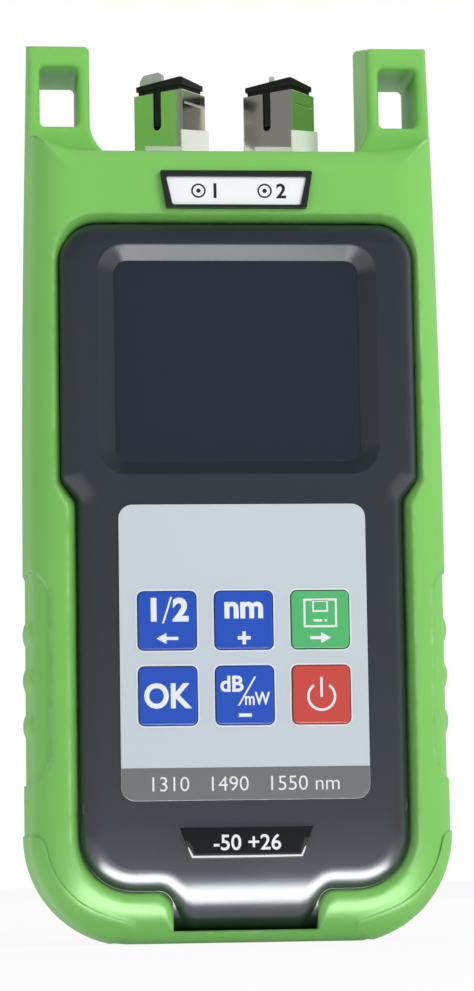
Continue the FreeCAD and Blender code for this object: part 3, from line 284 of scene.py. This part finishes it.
def make_tone_blend():
    """Base colour with its drift and its pale edges: rubbed wear, and on the boot a painted
    highlight.
    """
    tree, given, result = group_tree(
        "tone_blend",
        [
            ("Base", "NodeSocketColor", (0.5, 0.5, 0.5, 1.0)),
            ("Deep", "NodeSocketColor", (0.4, 0.4, 0.4, 1.0)),
            ("Rubbed And Highlight", "NodeSocketColor", (0.6, 0.6, 0.6, 1.0)),
            ("Drift", "NodeSocketFloat", 0.5),
            ("Rub And Highlight", "NodeSocketFloat", 0.0),
        ],
        [("Color", "NodeSocketColor")],
    )
    drifted = add(tree, "ShaderNodeMix", data_type="RGBA")
    link(tree, given.outputs["Drift"], drifted.inputs["Factor"])
    link(tree, given.outputs["Base"], drifted.inputs["A"])
    link(tree, given.outputs["Deep"], drifted.inputs["B"])
    rubbed_and_highlight = add(tree, "ShaderNodeMix", data_type="RGBA")
    link(tree, given.outputs["Rub And Highlight"], rubbed_and_highlight.inputs["Factor"])
    link(tree, drifted.outputs["Result"], rubbed_and_highlight.inputs["A"])
    link(tree, given.outputs["Rubbed And Highlight"], rubbed_and_highlight.inputs["B"])
    link(tree, rubbed_and_highlight.outputs["Result"], result.inputs["Color"])
    return tree


def make_rough_map():
    """Roughness that varies a little with the drift and polishes along the edge mask (rubbed
    wear, and the boot's painted highlight).
    """
    tree, given, result = group_tree(
        "rough_map",
        [
            ("Drift", "NodeSocketFloat", 0.5),
            ("Rub And Highlight", "NodeSocketFloat", 0.0),
            ("Low", "NodeSocketFloat", 0.35),
            ("High", "NodeSocketFloat", 0.5),
        ],
        [("Roughness", "NodeSocketFloat")],
    )
    spread = add(tree, "ShaderNodeMapRange", {"From Min": DRIFT_FROM, "From Max": DRIFT_TO})
    link(tree, given.outputs["Drift"], spread.inputs["Value"])
    link(tree, given.outputs["Low"], spread.inputs["To Min"])
    link(tree, given.outputs["High"], spread.inputs["To Max"])
    polish = add(tree, "ShaderNodeMath", {1: RUB_POLISH}, operation="MULTIPLY")
    link(tree, given.outputs["Rub And Highlight"], polish.inputs[0])
    lowered = add(tree, "ShaderNodeMath", operation="SUBTRACT", use_clamp=True)
    link(tree, spread.outputs["Result"], lowered.inputs[0])
    link(tree, polish.outputs[0], lowered.inputs[1])
    link(tree, lowered.outputs[0], result.inputs["Roughness"])
    return tree


MOULDED_GRAIN = make_moulded_grain()
EDGE_WEAR_AND_HIGHLIGHT = make_edge_wear_and_highlight()
TONE_BLEND = make_tone_blend()
ROUGH_MAP = make_rough_map()


def moulded(
    name, base, deep, rubbed_and_highlight, rough, grain, grain_depth, edge, rub_and_highlight=0.5, drift=0.03, **sockets,
):
    """Moulded, plated or printed finish: grain, drift of tone, softened edges, and pale edges
    that are rubbed wear and, on the boot, a painted highlight.
    """
    material = bpy.data.materials.new(name)
    material.use_nodes = True
    tree = material.node_tree
    shader = tree.nodes["Principled BSDF"]
    place = add(tree, "ShaderNodeTexCoord")
    soft = add(tree, "ShaderNodeBevel", {"Radius": edge}, samples=BEVEL_SAMPLES)
    surface = add_group(tree, MOULDED_GRAIN, {"Grain Size": grain, "Drift Size": drift})
    link(tree, place.outputs["Object"], surface.inputs["Vector"])
    # Edge mask: rubbed wear, and on the boot a painted highlight
    edge_wear_and_highlight_mask = add_group(tree, EDGE_WEAR_AND_HIGHLIGHT, {"Amount": rub_and_highlight})
    link(tree, soft.outputs["Normal"], edge_wear_and_highlight_mask.inputs["Soft Normal"])
    link(tree, place.outputs["Object"], edge_wear_and_highlight_mask.inputs["Vector"])
    tone = add_group(
        tree, TONE_BLEND, {"Base": linear(base), "Deep": linear(deep), "Rubbed And Highlight": linear(rubbed_and_highlight)},
    )
    link(tree, surface.outputs["Drift"], tone.inputs["Drift"])
    link(tree, edge_wear_and_highlight_mask.outputs["Mask"], tone.inputs["Rub And Highlight"])
    link(tree, tone.outputs["Color"], shader.inputs["Base Color"])
    roughness = add_group(tree, ROUGH_MAP, {"Low": rough[0], "High": rough[1]})
    link(tree, surface.outputs["Drift"], roughness.inputs["Drift"])
    link(tree, edge_wear_and_highlight_mask.outputs["Mask"], roughness.inputs["Rub And Highlight"])
    link(tree, roughness.outputs["Roughness"], shader.inputs["Roughness"])
    bump = add(tree, "ShaderNodeBump", {"Strength": 1.0, "Distance": grain_depth})
    link(tree, surface.outputs["Height"], bump.inputs["Height"])
    link(tree, soft.outputs["Normal"], bump.inputs["Normal"])
    link(tree, bump.outputs["Normal"], shader.inputs["Normal"])
    for label, value in sockets.items():
        socket = label.replace("_", " ").title().replace("Ior", "IOR")
        shader.inputs[socket].default_value = value
    return material


# ---------------------------------------------------------------- finishes
KEY_TONES = {
    "key_blue": ((27, 84, 198), (24, 78, 192), (64, 116, 214)),
    "key_green": ((86, 192, 117), (82, 186, 111), (124, 210, 148)),
    "key_red": ((210, 76, 66), (203, 70, 61), (224, 112, 104)),
}

FINISH_OF_SLOT = {
    # Boot: its pale edge tone (184, 235, 168) at rub 0.75 is a painted highlight along the
    # opening's rim and its other edges
    "boot_green": moulded(
        "boot_silicone", (131, 205, 99), (124, 199, 92), (184, 235, 168),
        rough=(0.46, 0.54), grain=0.00035, grain_depth=0.000006, edge=0.0016, rub_and_highlight=0.75,
    ),
    "housing_charcoal": moulded(
        "shell_charcoal", (30, 40, 50), (27, 37, 46), (58, 66, 75),
        rough=(0.30, 0.36), grain=0.00026, grain_depth=0.000010, edge=0.0004, rub_and_highlight=0.20,
        ior=1.75,
    ),
    "window_smoke": moulded(
        "window_smoke", (34, 43, 57), (32, 41, 55), (50, 58, 71),
        rough=(0.10, 0.16), grain=0.004, grain_depth=0.0000004, edge=0.0002, rub_and_highlight=0.1,
        drift=0.05, coat_weight=0.3,
    ),
    "lcd_grey": moulded(
        "lcd_grey", (120, 128, 118), (112, 120, 110), (150, 156, 148),
        rough=(0.15, 0.2), grain=0.001, grain_depth=0.000001, edge=0.0001,
    ),
    "board_green": moulded(
        "board_green", (30, 96, 58), (24, 84, 50), (96, 132, 100),
        rough=(0.3, 0.4), grain=0.0006, grain_depth=0.000004, edge=0.0001,
    ),
    "label_silver": moulded(
        "label_silver", (206, 216, 224), (202, 212, 220), (224, 230, 235),
        rough=(0.38, 0.46), grain=0.00018, grain_depth=0.000002, edge=0.00015, rub_and_highlight=0.2,
        drift=0.05,
    ),
    "trim_black": moulded(
        "trim_black", (34, 37, 38), (30, 33, 34), (70, 74, 76),
        rough=(0.3, 0.38), grain=0.0003, grain_depth=0.000003, edge=0.0003, rub_and_highlight=0.3,
    ),
    "badge_white": moulded(
        "badge_white", (248, 251, 253), (244, 248, 251), (252, 253, 254),
        rough=(0.28, 0.36), grain=0.0003, grain_depth=0.000002, edge=0.0001, rub_and_highlight=0.1,
    ),
    "badge_black": moulded(
        "badge_black", (16, 18, 22), (14, 16, 20), (50, 54, 60),
        rough=(0.05, 0.09), grain=0.003, grain_depth=0.0000004, edge=0.0001, rub_and_highlight=0.05,
        drift=0.02, coat_weight=0.3, coat_roughness=0.04,
    ),
    "hood_nickel": moulded(
        "hood_nickel", (232, 229, 220), (226, 223, 213), (244, 242, 236),
        rough=(0.10, 0.18), grain=0.0006, grain_depth=0.000002, edge=0.00025, rub_and_highlight=0.6,
        drift=0.01, metallic=1.0,
    ),
    "seat_pale": moulded(
        "seat_pale", (240, 240, 235), (234, 234, 228), (248, 248, 245),
        rough=(0.25, 0.35), grain=0.0004, grain_depth=0.000002, edge=0.0002,
    ),
    "sleeve_ceramic": moulded(
        "sleeve_ceramic", (238, 236, 226), (230, 228, 218), (246, 245, 240),
        rough=(0.12, 0.2), grain=0.0004, grain_depth=0.000001, edge=0.0001,
    ),
    "can_gold": moulded(
        "can_gold", (206, 176, 104), (196, 166, 94), (226, 200, 140),
        rough=(0.2, 0.3), grain=0.0004, grain_depth=0.000002, edge=0.0001, metallic=1.0,
    ),
    "plug_black": moulded(
        "plug_black", (12, 13, 13), (9, 10, 10), (40, 42, 43),
        rough=(0.5, 0.6), grain=0.0003, grain_depth=0.000005, edge=0.0002, rub_and_highlight=0.3,
    ),
    "tab_clear": moulded(
        "tab_clear", (198, 200, 193), (186, 188, 180), (226, 228, 222),
        rough=(0.18, 0.3), grain=0.0005, grain_depth=0.000006, edge=0.0002, alpha=0.72,
    ),
    "plastic_black": moulded(
        "plastic_black", (24, 25, 27), (20, 21, 23), (64, 66, 68),
        rough=(0.4, 0.5), grain=0.0003, grain_depth=0.000004, edge=0.0002,
    ),
    "plastic_white": moulded(
        "plastic_white", (228, 228, 222), (222, 222, 215), (240, 240, 236),
        rough=(0.4, 0.5), grain=0.0003, grain_depth=0.000004, edge=0.0002,
    ),
    "cell_wrap": moulded(
        "cell_wrap", (44, 60, 92), (40, 55, 86), (90, 104, 132),
        rough=(0.2, 0.3), grain=0.001, grain_depth=0.000004, edge=0.0003,
    ),
    "contact_steel": moulded(
        "contact_steel", (200, 202, 204), (188, 190, 192), (226, 228, 230),
        rough=(0.18, 0.28), grain=0.0004, grain_depth=0.000002, edge=0.0001, metallic=1.0,
    ),
    "screw_steel": moulded(
        "screw_steel", (164, 166, 168), (150, 152, 154), (206, 208, 210),
        rough=(0.26, 0.38), grain=0.0003, grain_depth=0.000004, edge=0.0002, metallic=1.0,
    ),
}
for key_slot, tones in KEY_TONES.items():
    FINISH_OF_SLOT[key_slot] = moulded(
        key_slot, *tones,
        rough=(0.34, 0.42), grain=0.0002, grain_depth=0.000003, edge=0.0003, rub_and_highlight=0.3,
    )

# Finishes that only the scene's own pieces have
print_white = moulded(
    "print_white", (240, 244, 250), (236, 240, 247), (250, 252, 255),
    rough=(0.4, 0.5), grain=0.0002, grain_depth=0.000001, edge=0.00002,
)
strip_grey = moulded(
    "strip_grey", (115, 120, 120), (111, 116, 116), (140, 145, 145),
    rough=(0.38, 0.46), grain=0.00018, grain_depth=0.000002, edge=0.00005,
)
# Painted shade: a dark cross laid on each screw head stands in for the shade inside its recess
painted_recess_shade = moulded(
    "painted_recess_shade", (34, 35, 36), (28, 29, 30), (60, 61, 62),
    rough=(0.5, 0.6), grain=0.0003, grain_depth=0.000004, edge=0.0001, metallic=1.0,
)

for entry in frame["record"]["subparts"]:
    carried = nodes[entry["node"]]
    finish = FINISH_OF_SLOT[entry["material_slot"]]
    if not carried.material_slots:
        carried.data.materials.append(finish)
    for material_slot in carried.material_slots:
        material_slot.material = finish


# ---------------------------------------------------------------- piece helpers
def shape_object(name, form, finish, body):
    """Turns a finished bmesh into a piece that rides on a body."""
    mesh = bpy.data.meshes.new(name)
    bmesh.ops.recalc_face_normals(form, faces=form.faces)
    form.to_mesh(mesh)
    form.free()
    mesh.materials.append(finish)
    piece = bpy.data.objects.new(name, mesh)
    bpy.context.scene.collection.objects.link(piece)
    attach(piece, body)
    return piece


def front_plane(at_y, centre_u=0.0, centre_v=0.0):
    """Carries a flat drawing in X and Y onto the front, at one depth."""
    return Matrix.Translation((centre_u, at_y, centre_v)) @ TO_FRONT


def middle(low, high):
    """Middle of a box as the front shows it: across, then up."""
    return (low.x + high.x) / 2, (low.z + high.z) / 2


def merge(form, flat):
    """Adds one bmesh to another and frees it."""
    mesh = bpy.data.meshes.new("merged")
    flat.to_mesh(mesh)
    flat.free()
    form.from_mesh(mesh)
    bpy.data.meshes.remove(mesh)


def lay_flat(form, flat, height, place):
    """Raises a flat drawing into a plate, towards the viewer, and adds it to a piece."""
    raised = bmesh.ops.extrude_face_region(flat, geom=flat.faces[:])
    lifted = [g for g in raised["geom"] if isinstance(g, bmesh.types.BMVert)]
    bmesh.ops.translate(flat, vec=(0, 0, height), verts=lifted)
    bmesh.ops.transform(flat, matrix=place, verts=flat.verts)
    merge(form, flat)


def bar(centre_u, centre_v, width, height, lean=0.0):
    """Flat bar; its top leans to the right by lean."""
    flat = bmesh.new()
    bmesh.ops.create_grid(flat, x_segments=1, y_segments=1, size=0.5)
    skew = Matrix.Identity(4)
    skew[0][1] = lean / height
    size = Matrix.Diagonal((width, height, 1, 1))
    place = Matrix.Translation((centre_u, centre_v, 0))
    bmesh.ops.transform(flat, matrix=place @ skew @ size, verts=flat.verts)
    return flat


def round_corners(flat, corners, radius, steps):
    """Rounds the given corners of a flat drawing."""
    bmesh.ops.bevel(
        flat, geom=corners, offset=radius, offset_type="OFFSET", segments=steps, profile=0.5,
        affect="VERTICES", material=-1,
    )
    return flat


def disc(centre_u, centre_v, radius):
    """Flat disc."""
    flat = bmesh.new()
    bmesh.ops.create_circle(
        flat, cap_ends=True, radius=radius, segments=DISC_SIDES,
        matrix=Matrix.Translation((centre_u, centre_v, 0)),
    )
    return flat


def hollow(flat, line):
    """Leaves only a line of this width round a flat drawing's edge."""
    inset = bmesh.ops.inset_region(
        flat, faces=flat.faces[:], thickness=line, use_boundary=True,
    )
    inside = [face for face in flat.faces if face not in inset["faces"]]
    bmesh.ops.delete(flat, geom=inside, context="FACES")
    return flat


def cross(centre_v, length, width, gap=0.0):
    """Flat plus of three bars: the level one, then its two arms."""
    arm = (length - width) / 2
    out = width / 2 + gap + arm / 2
    arms = [bar(0, centre_v + side * out, width, arm) for side in (-1, 1)]
    return [bar(0, centre_v, length, width), *arms]


def arrow(centre_v, length, pointing):
    """Flat short arrow, to the right or, with pointing -1, to the left."""
    head = ARROW_HEAD_LONG
    flat = bar(pointing * (length - head) / 2, centre_v, head, ARROW_HEAD_WIDE)
    tip_u = pointing * length / 2
    tip = [v for v in flat.verts if abs(v.co.x - tip_u) < head / 4]
    bmesh.ops.pointmerge(flat, verts=tip, merge_co=(tip_u, centre_v, 0))
    merge(flat, bar(-pointing * head / 2, centre_v, length - head, ARROW_SHAFT_WIDE))
    return flat


def arc_band(centre_v, radius, width, start, end):
    """Flat open ring between two angles in degrees."""
    flat = bmesh.new()
    ends = [(radius + side * width / 2, centre_v, 0) for side in (-1, 1)]
    spoke = [flat.verts.new(end_point) for end_point in ends]
    edge = flat.edges.new(spoke)
    centre = Vector((0, centre_v, 0))
    first = Matrix.Rotation(math.radians(start), 3, "Z")
    bmesh.ops.rotate(flat, cent=centre, matrix=first, verts=spoke)
    bmesh.ops.spin(
        flat, geom=[*spoke, edge], cent=centre, axis=(0, 0, 1),
        angle=math.radians(end - start), steps=ARC_STEPS,
    )
    return flat


def lay_text(form, words, size, centre_u, centre_v, height, place, bold=0.0, stretch=1.0):
    """Adds lettering as a raised plate, centred on a point."""
    curve = bpy.data.curves.new("lettering", "FONT")
    curve.body = words
    curve.size = size
    curve.align_x = "CENTER"
    curve.offset = bold
    curve.extrude = height / 2
    curve.resolution_u = LETTER_STEPS
    holder = bpy.data.objects.new("lettering", curve)
    bpy.context.scene.collection.objects.link(holder)
    bpy.context.view_layer.update()
    depsgraph = bpy.context.evaluated_depsgraph_get()
    shape = bpy.data.meshes.new_from_object(holder.evaluated_get(depsgraph))
    across = [v.co.x for v in shape.vertices]
    up = [v.co.y for v in shape.vertices]
    centred = Matrix.Translation(
        (-(min(across) + max(across)) / 2, -(min(up) + max(up)) / 2, height / 2),
    )
    spread = Matrix.Diagonal((stretch, 1, 1, 1))
    shape.transform(place @ Matrix.Translation((centre_u, centre_v, 0)) @ spread @ centred)
    form.from_mesh(shape)
    bpy.data.objects.remove(holder)
    bpy.data.curves.remove(curve)
    bpy.data.meshes.remove(shape)


# ---------------------------------------------------------------- keypad
label_low, label_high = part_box("keypad_label")
KEYS = ("ratio", "wavelength", "save", "ok", "units", "power")

# Words on each key: letters, letter height, across, up, boldness, stretch
KEY_WORDS = {
    "ratio": (
        ("1", 0.0062, -0.0027, 0.0022, 0.00028, 1.0),
        ("2", 0.0062, 0.0027, 0.0022, 0.00028, 1.0),
    ),
    "wavelength": (("nm", 0.0064, 0.0, 0.0020, 0.00022, 1.0),),
    "ok": (("OK", 0.0068, 0.0, 0.0, 0.00020, 0.92),),
    "units": (
        ("dB", 0.0044, -0.0026, 0.0023, 0.00012, 1.0),
        ("mW", 0.0036, 0.0025, -0.0007, 0.00008, 0.78),
    ),
}


def key_drawings(name):
    """Flat marks of one key, round its middle: slash, plus, minus, disk, arrow, power."""
    if name == "ratio":
        return [bar(0, 0.0021, SLASH_WIDE, 0.0053, lean=0.0017), arrow(-0.0036, 0.0044, -1)]
    if name == "wavelength":
        return cross(-0.0036, SIGN_LONG, SIGN_WIDE, SIGN_GAP)
    if name == "save":
        return [
            hollow(bar(0, 0.0013, *DISK_SIZE), DISK_LINE),
            hollow(bar(0, 0.0027, *SHUTTER_SIZE), SHUTTER_LINE),
            bar(-0.0005, -0.0002, 0.0018, SHUTTER_LINE),
            bar(0.0011, -0.0002, SHUTTER_LINE, SHUTTER_LINE),
            arrow(-0.0037, 0.0042, 1),
        ]
    if name == "units":
        return [
            bar(0.0004, 0.0008, SLASH_WIDE, 0.0058, lean=0.0034),
            bar(0, -0.0040, SIGN_LONG, SIGN_WIDE),
        ]
    if name == "power":
        return [
            arc_band(-0.0004, POWER_RADIUS, POWER_LINE, *POWER_RING),
            bar(0, 0.0015, POWER_LINE, 0.0040),
        ]
    return []


def key_legend(name):
    """White marks printed on one key."""
    low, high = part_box("key_" + name)
    place = front_plane(low.y - KEY_PRINT_GAP, *middle(low, high))
    form = bmesh.new()
    for words, size, across, up, bold, stretch in KEY_WORDS.get(name, ()):
        lay_text(form, words, size, across, up, KEY_PRINT, place, bold, stretch)
    for flat in key_drawings(name):
        lay_flat(form, flat, KEY_PRINT, place)
    return shape_object(
        "legend_" + name, form, print_white, "key_" + name + "_body",
    )


def key_borders():
    """White printed line round each key on the label."""
    form = bmesh.new()
    for name in KEYS:
        low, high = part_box("key_" + name)
        size = high.x - low.x - 2 * KEY_FLANGE + BORDER_BEYOND_KEY
        border = bar(0, 0, size, size)
        round_corners(border, border.verts[:], BORDER_CORNER, CORNER_STEPS)
        place = front_plane(label_low.y - PRINT_GAP, *middle(low, high))
        lay_flat(form, hollow(border, BORDER_LINE), THIN_PRINT, place)
    return shape_object("key_borders", form, print_white, "meter")


def label_strip():
    """Dark band along the foot of the label."""
    form = bmesh.new()
    middle_u = middle(label_low, label_high)[0]
    middle_v = label_low.z + STRIP_INSET + STRIP_HIGH / 2
    flat = bar(0, 0, label_high.x - label_low.x - 2 * STRIP_INSET, STRIP_HIGH)
    foot = [v for v in flat.verts if v.co.y < 0]
    round_corners(flat, foot, STRIP_CORNER, STRIP_CORNER_STEPS)
    lay_flat(form, flat, THIN_PRINT, front_plane(label_low.y - PRINT_GAP, middle_u, middle_v))
    return shape_object("label_strip", form, strip_grey, "meter")


def strip_figures():
    """Plain wavelength figures on the strip."""
    form = bmesh.new()
    middle_u = middle(label_low, label_high)[0]
    place = front_plane(label_low.y - OVER_STRIP_GAP, middle_u, label_low.z + STRIP_FIGURES_UP)
    lay_text(
        form, "1310   1490   1550 nm", STRIP_FIGURE_SIZE, 0, 0, THIN_PRINT, place,
        bold=STRIP_FIGURE_BOLD,
    )
    return shape_object("strip_figures", form, print_white, "meter")


for key in KEYS:
    key_legend(key)
key_borders()
label_strip()
strip_figures()


# ---------------------------------------------------------------- badges
def top_badge_marks():
    """Plain port numbers, each beside a ring with a dot."""
    low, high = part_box("top_badge_plate")
    form = bmesh.new()
    place = front_plane(low.y - PRINT_GAP, *middle(low, high))
    for side, figure in ((-1, "1"), (1, "2")):
        u = side * PORT_MARK_OUT
        ring_u = u + PORT_RING_SHIFT
        lay_text(
            form, figure, PORT_FIGURE_SIZE, u + PORT_FIGURE_SHIFT, 0, THIN_PRINT, place,
            bold=PORT_FIGURE_BOLD,
        )
        ring = hollow(disc(ring_u, 0, PORT_RING_RADIUS), PORT_RING_LINE)
        lay_flat(form, ring, THIN_PRINT, place)
        lay_flat(form, disc(ring_u, 0, PORT_DOT_RADIUS), THIN_PRINT, place)
    black = FINISH_OF_SLOT["trim_black"]
    return shape_object("top_badge_marks", form, black, "meter")


def lower_badge_dome():
    """Clear resin over black, with a rounded edge all round its face."""
    low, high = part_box("lower_badge")
    form = bmesh.new()
    outline = bar(0, 0, high.x - low.x, high.z - low.z)
    foot = [v for v in outline.verts if v.co.y < 0]
    bmesh.ops.scale(outline, vec=(BADGE_FOOT_SHARE, 1, 1), verts=foot)
    lay_flat(form, outline, high.y - low.y, front_plane(high.y, *middle(low, high)))
    face_edges = [
        e for e in form.edges if all(abs(v.co.y - low.y) < SAME_DEPTH for v in e.verts)
    ]
    bmesh.ops.bevel(
        form, geom=face_edges, offset=DOME_EDGE, offset_type="OFFSET", segments=DOME_STEPS,
        profile=0.5, affect="EDGES", material=-1,
    )
    form.normal_update()
    for face in form.faces:
        face.smooth = abs(face.normal.y) < FLAT_ENOUGH
    resin = FINISH_OF_SLOT["badge_black"]
    dome = shape_object("lower_badge_dome", form, resin, "meter")
    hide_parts("lower_badge")
    return dome


def lower_badge_figures():
    """Plain range figures on the domed badge."""
    low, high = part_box("lower_badge")
    form = bmesh.new()
    place = front_plane(low.y - PRINT_GAP, *middle(low, high))
    lay_text(
        form, "-50 +26", RANGE_FIGURE_SIZE, 0, RANGE_FIGURES_UP, THIN_PRINT, place,
        bold=RANGE_FIGURE_BOLD,
    )
    return shape_object("lower_badge_figures", form, print_white, "meter")


top_badge_marks()
lower_badge_dome()
lower_badge_figures()


# ---------------------------------------------------------------- back
def screw_crosses():
    """Dark cross on each housing screw's head: painted shade standing in for its recess."""
    form = bmesh.new()
    low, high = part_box("housing_screws")
    for u in (low.x + SCREW_HEAD_RADIUS, high.x - SCREW_HEAD_RADIUS):
        for v in (low.z + SCREW_HEAD_RADIUS, high.z - SCREW_HEAD_RADIUS):
            turn = Matrix.Rotation(
                math.radians(CROSS_TURN + CROSS_TURN_PER_METRE * u), 4, "Z",
            )
            place = Matrix.Translation((u, high.y - CROSS_SUNK, v)) @ TO_BACK @ turn
            for flat in cross(0, CROSS_LONG, CROSS_WIDE):
                lay_flat(form, flat, CROSS_THICK, place)
    return shape_object("screw_crosses", form, painted_recess_shade, "meter")


screw_crosses()


# ---------------------------------------------------------------- floor, light and camera
def any_ray(tree, rays, *kinds):
    """1 for a ray of one of these kinds, else 0."""
    seen = rays.outputs[kinds[0]]
    for kind in kinds[1:]:
        either = add(tree, "ShaderNodeMath", operation="MAXIMUM")
        link(tree, seen, either.inputs[0])
        link(tree, rays.outputs[kind], either.inputs[1])
        seen = either.outputs[0]
    return seen


def make_floor():
    """Pale table top that shows white and keeps a soft shadow."""
    form = bmesh.new()
    bmesh.ops.create_grid(form, x_segments=1, y_segments=1, size=FLOOR_HALF)
    mesh = bpy.data.meshes.new("floor")
    form.to_mesh(mesh)
    form.free()
    floor = bpy.data.objects.new("floor", mesh)
    bpy.context.scene.collection.objects.link(floor)
    material = bpy.data.materials.new("floor_white")
    material.use_nodes = True
    tree = material.node_tree
    shader = tree.nodes["Principled BSDF"]
    shader.inputs["Base Color"].default_value = (FLOOR_TONE, FLOOR_TONE, FLOOR_TONE, 1.0)
    shader.inputs["Roughness"].default_value = FLOOR_ROUGHNESS
    rays = add(tree, "ShaderNodeLightPath")
    seen = any_ray(tree, rays, "Is Camera Ray", "Is Glossy Ray", "Is Transmission Ray")
    share = add(tree, "ShaderNodeMath", {1: FLOOR_GLOW_SHARE}, operation="MULTIPLY")
    link(tree, seen, share.inputs[0])
    glow = add(tree, "ShaderNodeEmission", {"Color": WHITE, "Strength": 1.0})
    mixed = add(tree, "ShaderNodeMixShader")
    link(tree, share.outputs[0], mixed.inputs["Fac"])
    link(tree, shader.outputs["BSDF"], mixed.inputs[1])
    link(tree, glow.outputs["Emission"], mixed.inputs[2])
    link(tree, mixed.outputs["Shader"], tree.nodes["Material Output"].inputs["Surface"])
    mesh.materials.append(material)
    return floor


def make_world():
    """White where it is seen, and dimmer in what the object's front mirrors."""
    world = bpy.data.worlds.new("studio")
    world.use_nodes = True
    tree = world.node_tree
    tree.nodes.clear()
    rays = add(tree, "ShaderNodeLightPath")
    toward = add(tree, "ShaderNodeTexCoord")
    axis = add(tree, "ShaderNodeVectorMath", {1: DIM_AXIS}, operation="DOT_PRODUCT")
    link(tree, toward.outputs["Generated"], axis.inputs[0])
    mirrored = add(
        tree, "ShaderNodeMapRange",
        {"From Min": DIM_FROM, "From Max": DIM_TO, "To Min": FRONT_GLOW, "To Max": BACK_GLOW},
        interpolation_type="SMOOTHSTEP",
    )
    link(tree, axis.outputs["Value"], mirrored.inputs["Value"])
    glossy = add(tree, "ShaderNodeMix", {"A": WORLD_LIGHT}, data_type="FLOAT")
    link(tree, rays.outputs["Is Glossy Ray"], glossy.inputs["Factor"])
    link(tree, mirrored.outputs["Result"], glossy.inputs["B"])
    level = add(tree, "ShaderNodeMix", {"B": 1.0}, data_type="FLOAT")
    seen = any_ray(tree, rays, "Is Camera Ray", "Is Transmission Ray")
    link(tree, seen, level.inputs["Factor"])
    link(tree, glossy.outputs["Result"], level.inputs["A"])
    background = add(tree, "ShaderNodeBackground", {"Color": WHITE})
    link(tree, level.outputs["Result"], background.inputs["Strength"])
    output = add(tree, "ShaderNodeOutputWorld")
    link(tree, background.outputs["Background"], output.inputs["Surface"])
    bpy.context.scene.world = world


def softbox(name, place, aim, width, height, power, passed_by):
    """Rectangular lamp that looks at a point and isn't seen itself."""
    lamp = bpy.data.lights.new(name, "AREA")
    lamp.shape = "RECTANGLE"
    lamp.size = width
    lamp.size_y = height
    lamp.energy = power
    holder = bpy.data.objects.new(name, lamp)
    bpy.context.scene.collection.objects.link(holder)
    holder.location = place
    facing = Vector(aim) - Vector(place)
    holder.rotation_mode = "QUATERNION"
    holder.rotation_quaternion = facing.to_track_quat("-Z", "Y")
    holder.visible_camera = False
    setattr(holder, passed_by, False)


def place_camera():
    """Long lens, a little left of the front and near its foot."""
    lens = bpy.data.cameras.new("camera")
    lens.lens = CAMERA_LENS
    lens.sensor_width = CAMERA_SENSOR
    lens.clip_start = CAMERA_NEAR
    lens.clip_end = CAMERA_FAR
    camera = bpy.data.objects.new("camera", lens)
    bpy.context.scene.collection.objects.link(camera)
    yaw = Matrix.Rotation(math.radians(CAMERA_YAW), 4, "Z")
    pitch = Matrix.Rotation(math.radians(CAMERA_PITCH), 4, "X")
    roll = Matrix.Rotation(math.radians(CAMERA_ROLL), 4, "Y")
    camera.matrix_world = Matrix.Translation(CAMERA_PLACE) @ yaw @ pitch @ roll @ TO_FRONT
    bpy.context.scene.camera = camera


make_floor()
make_world()
for softbox_values in LAMPS:
    softbox(*softbox_values)
place_camera()
bpy.context.scene.view_settings.view_transform = "Standard"
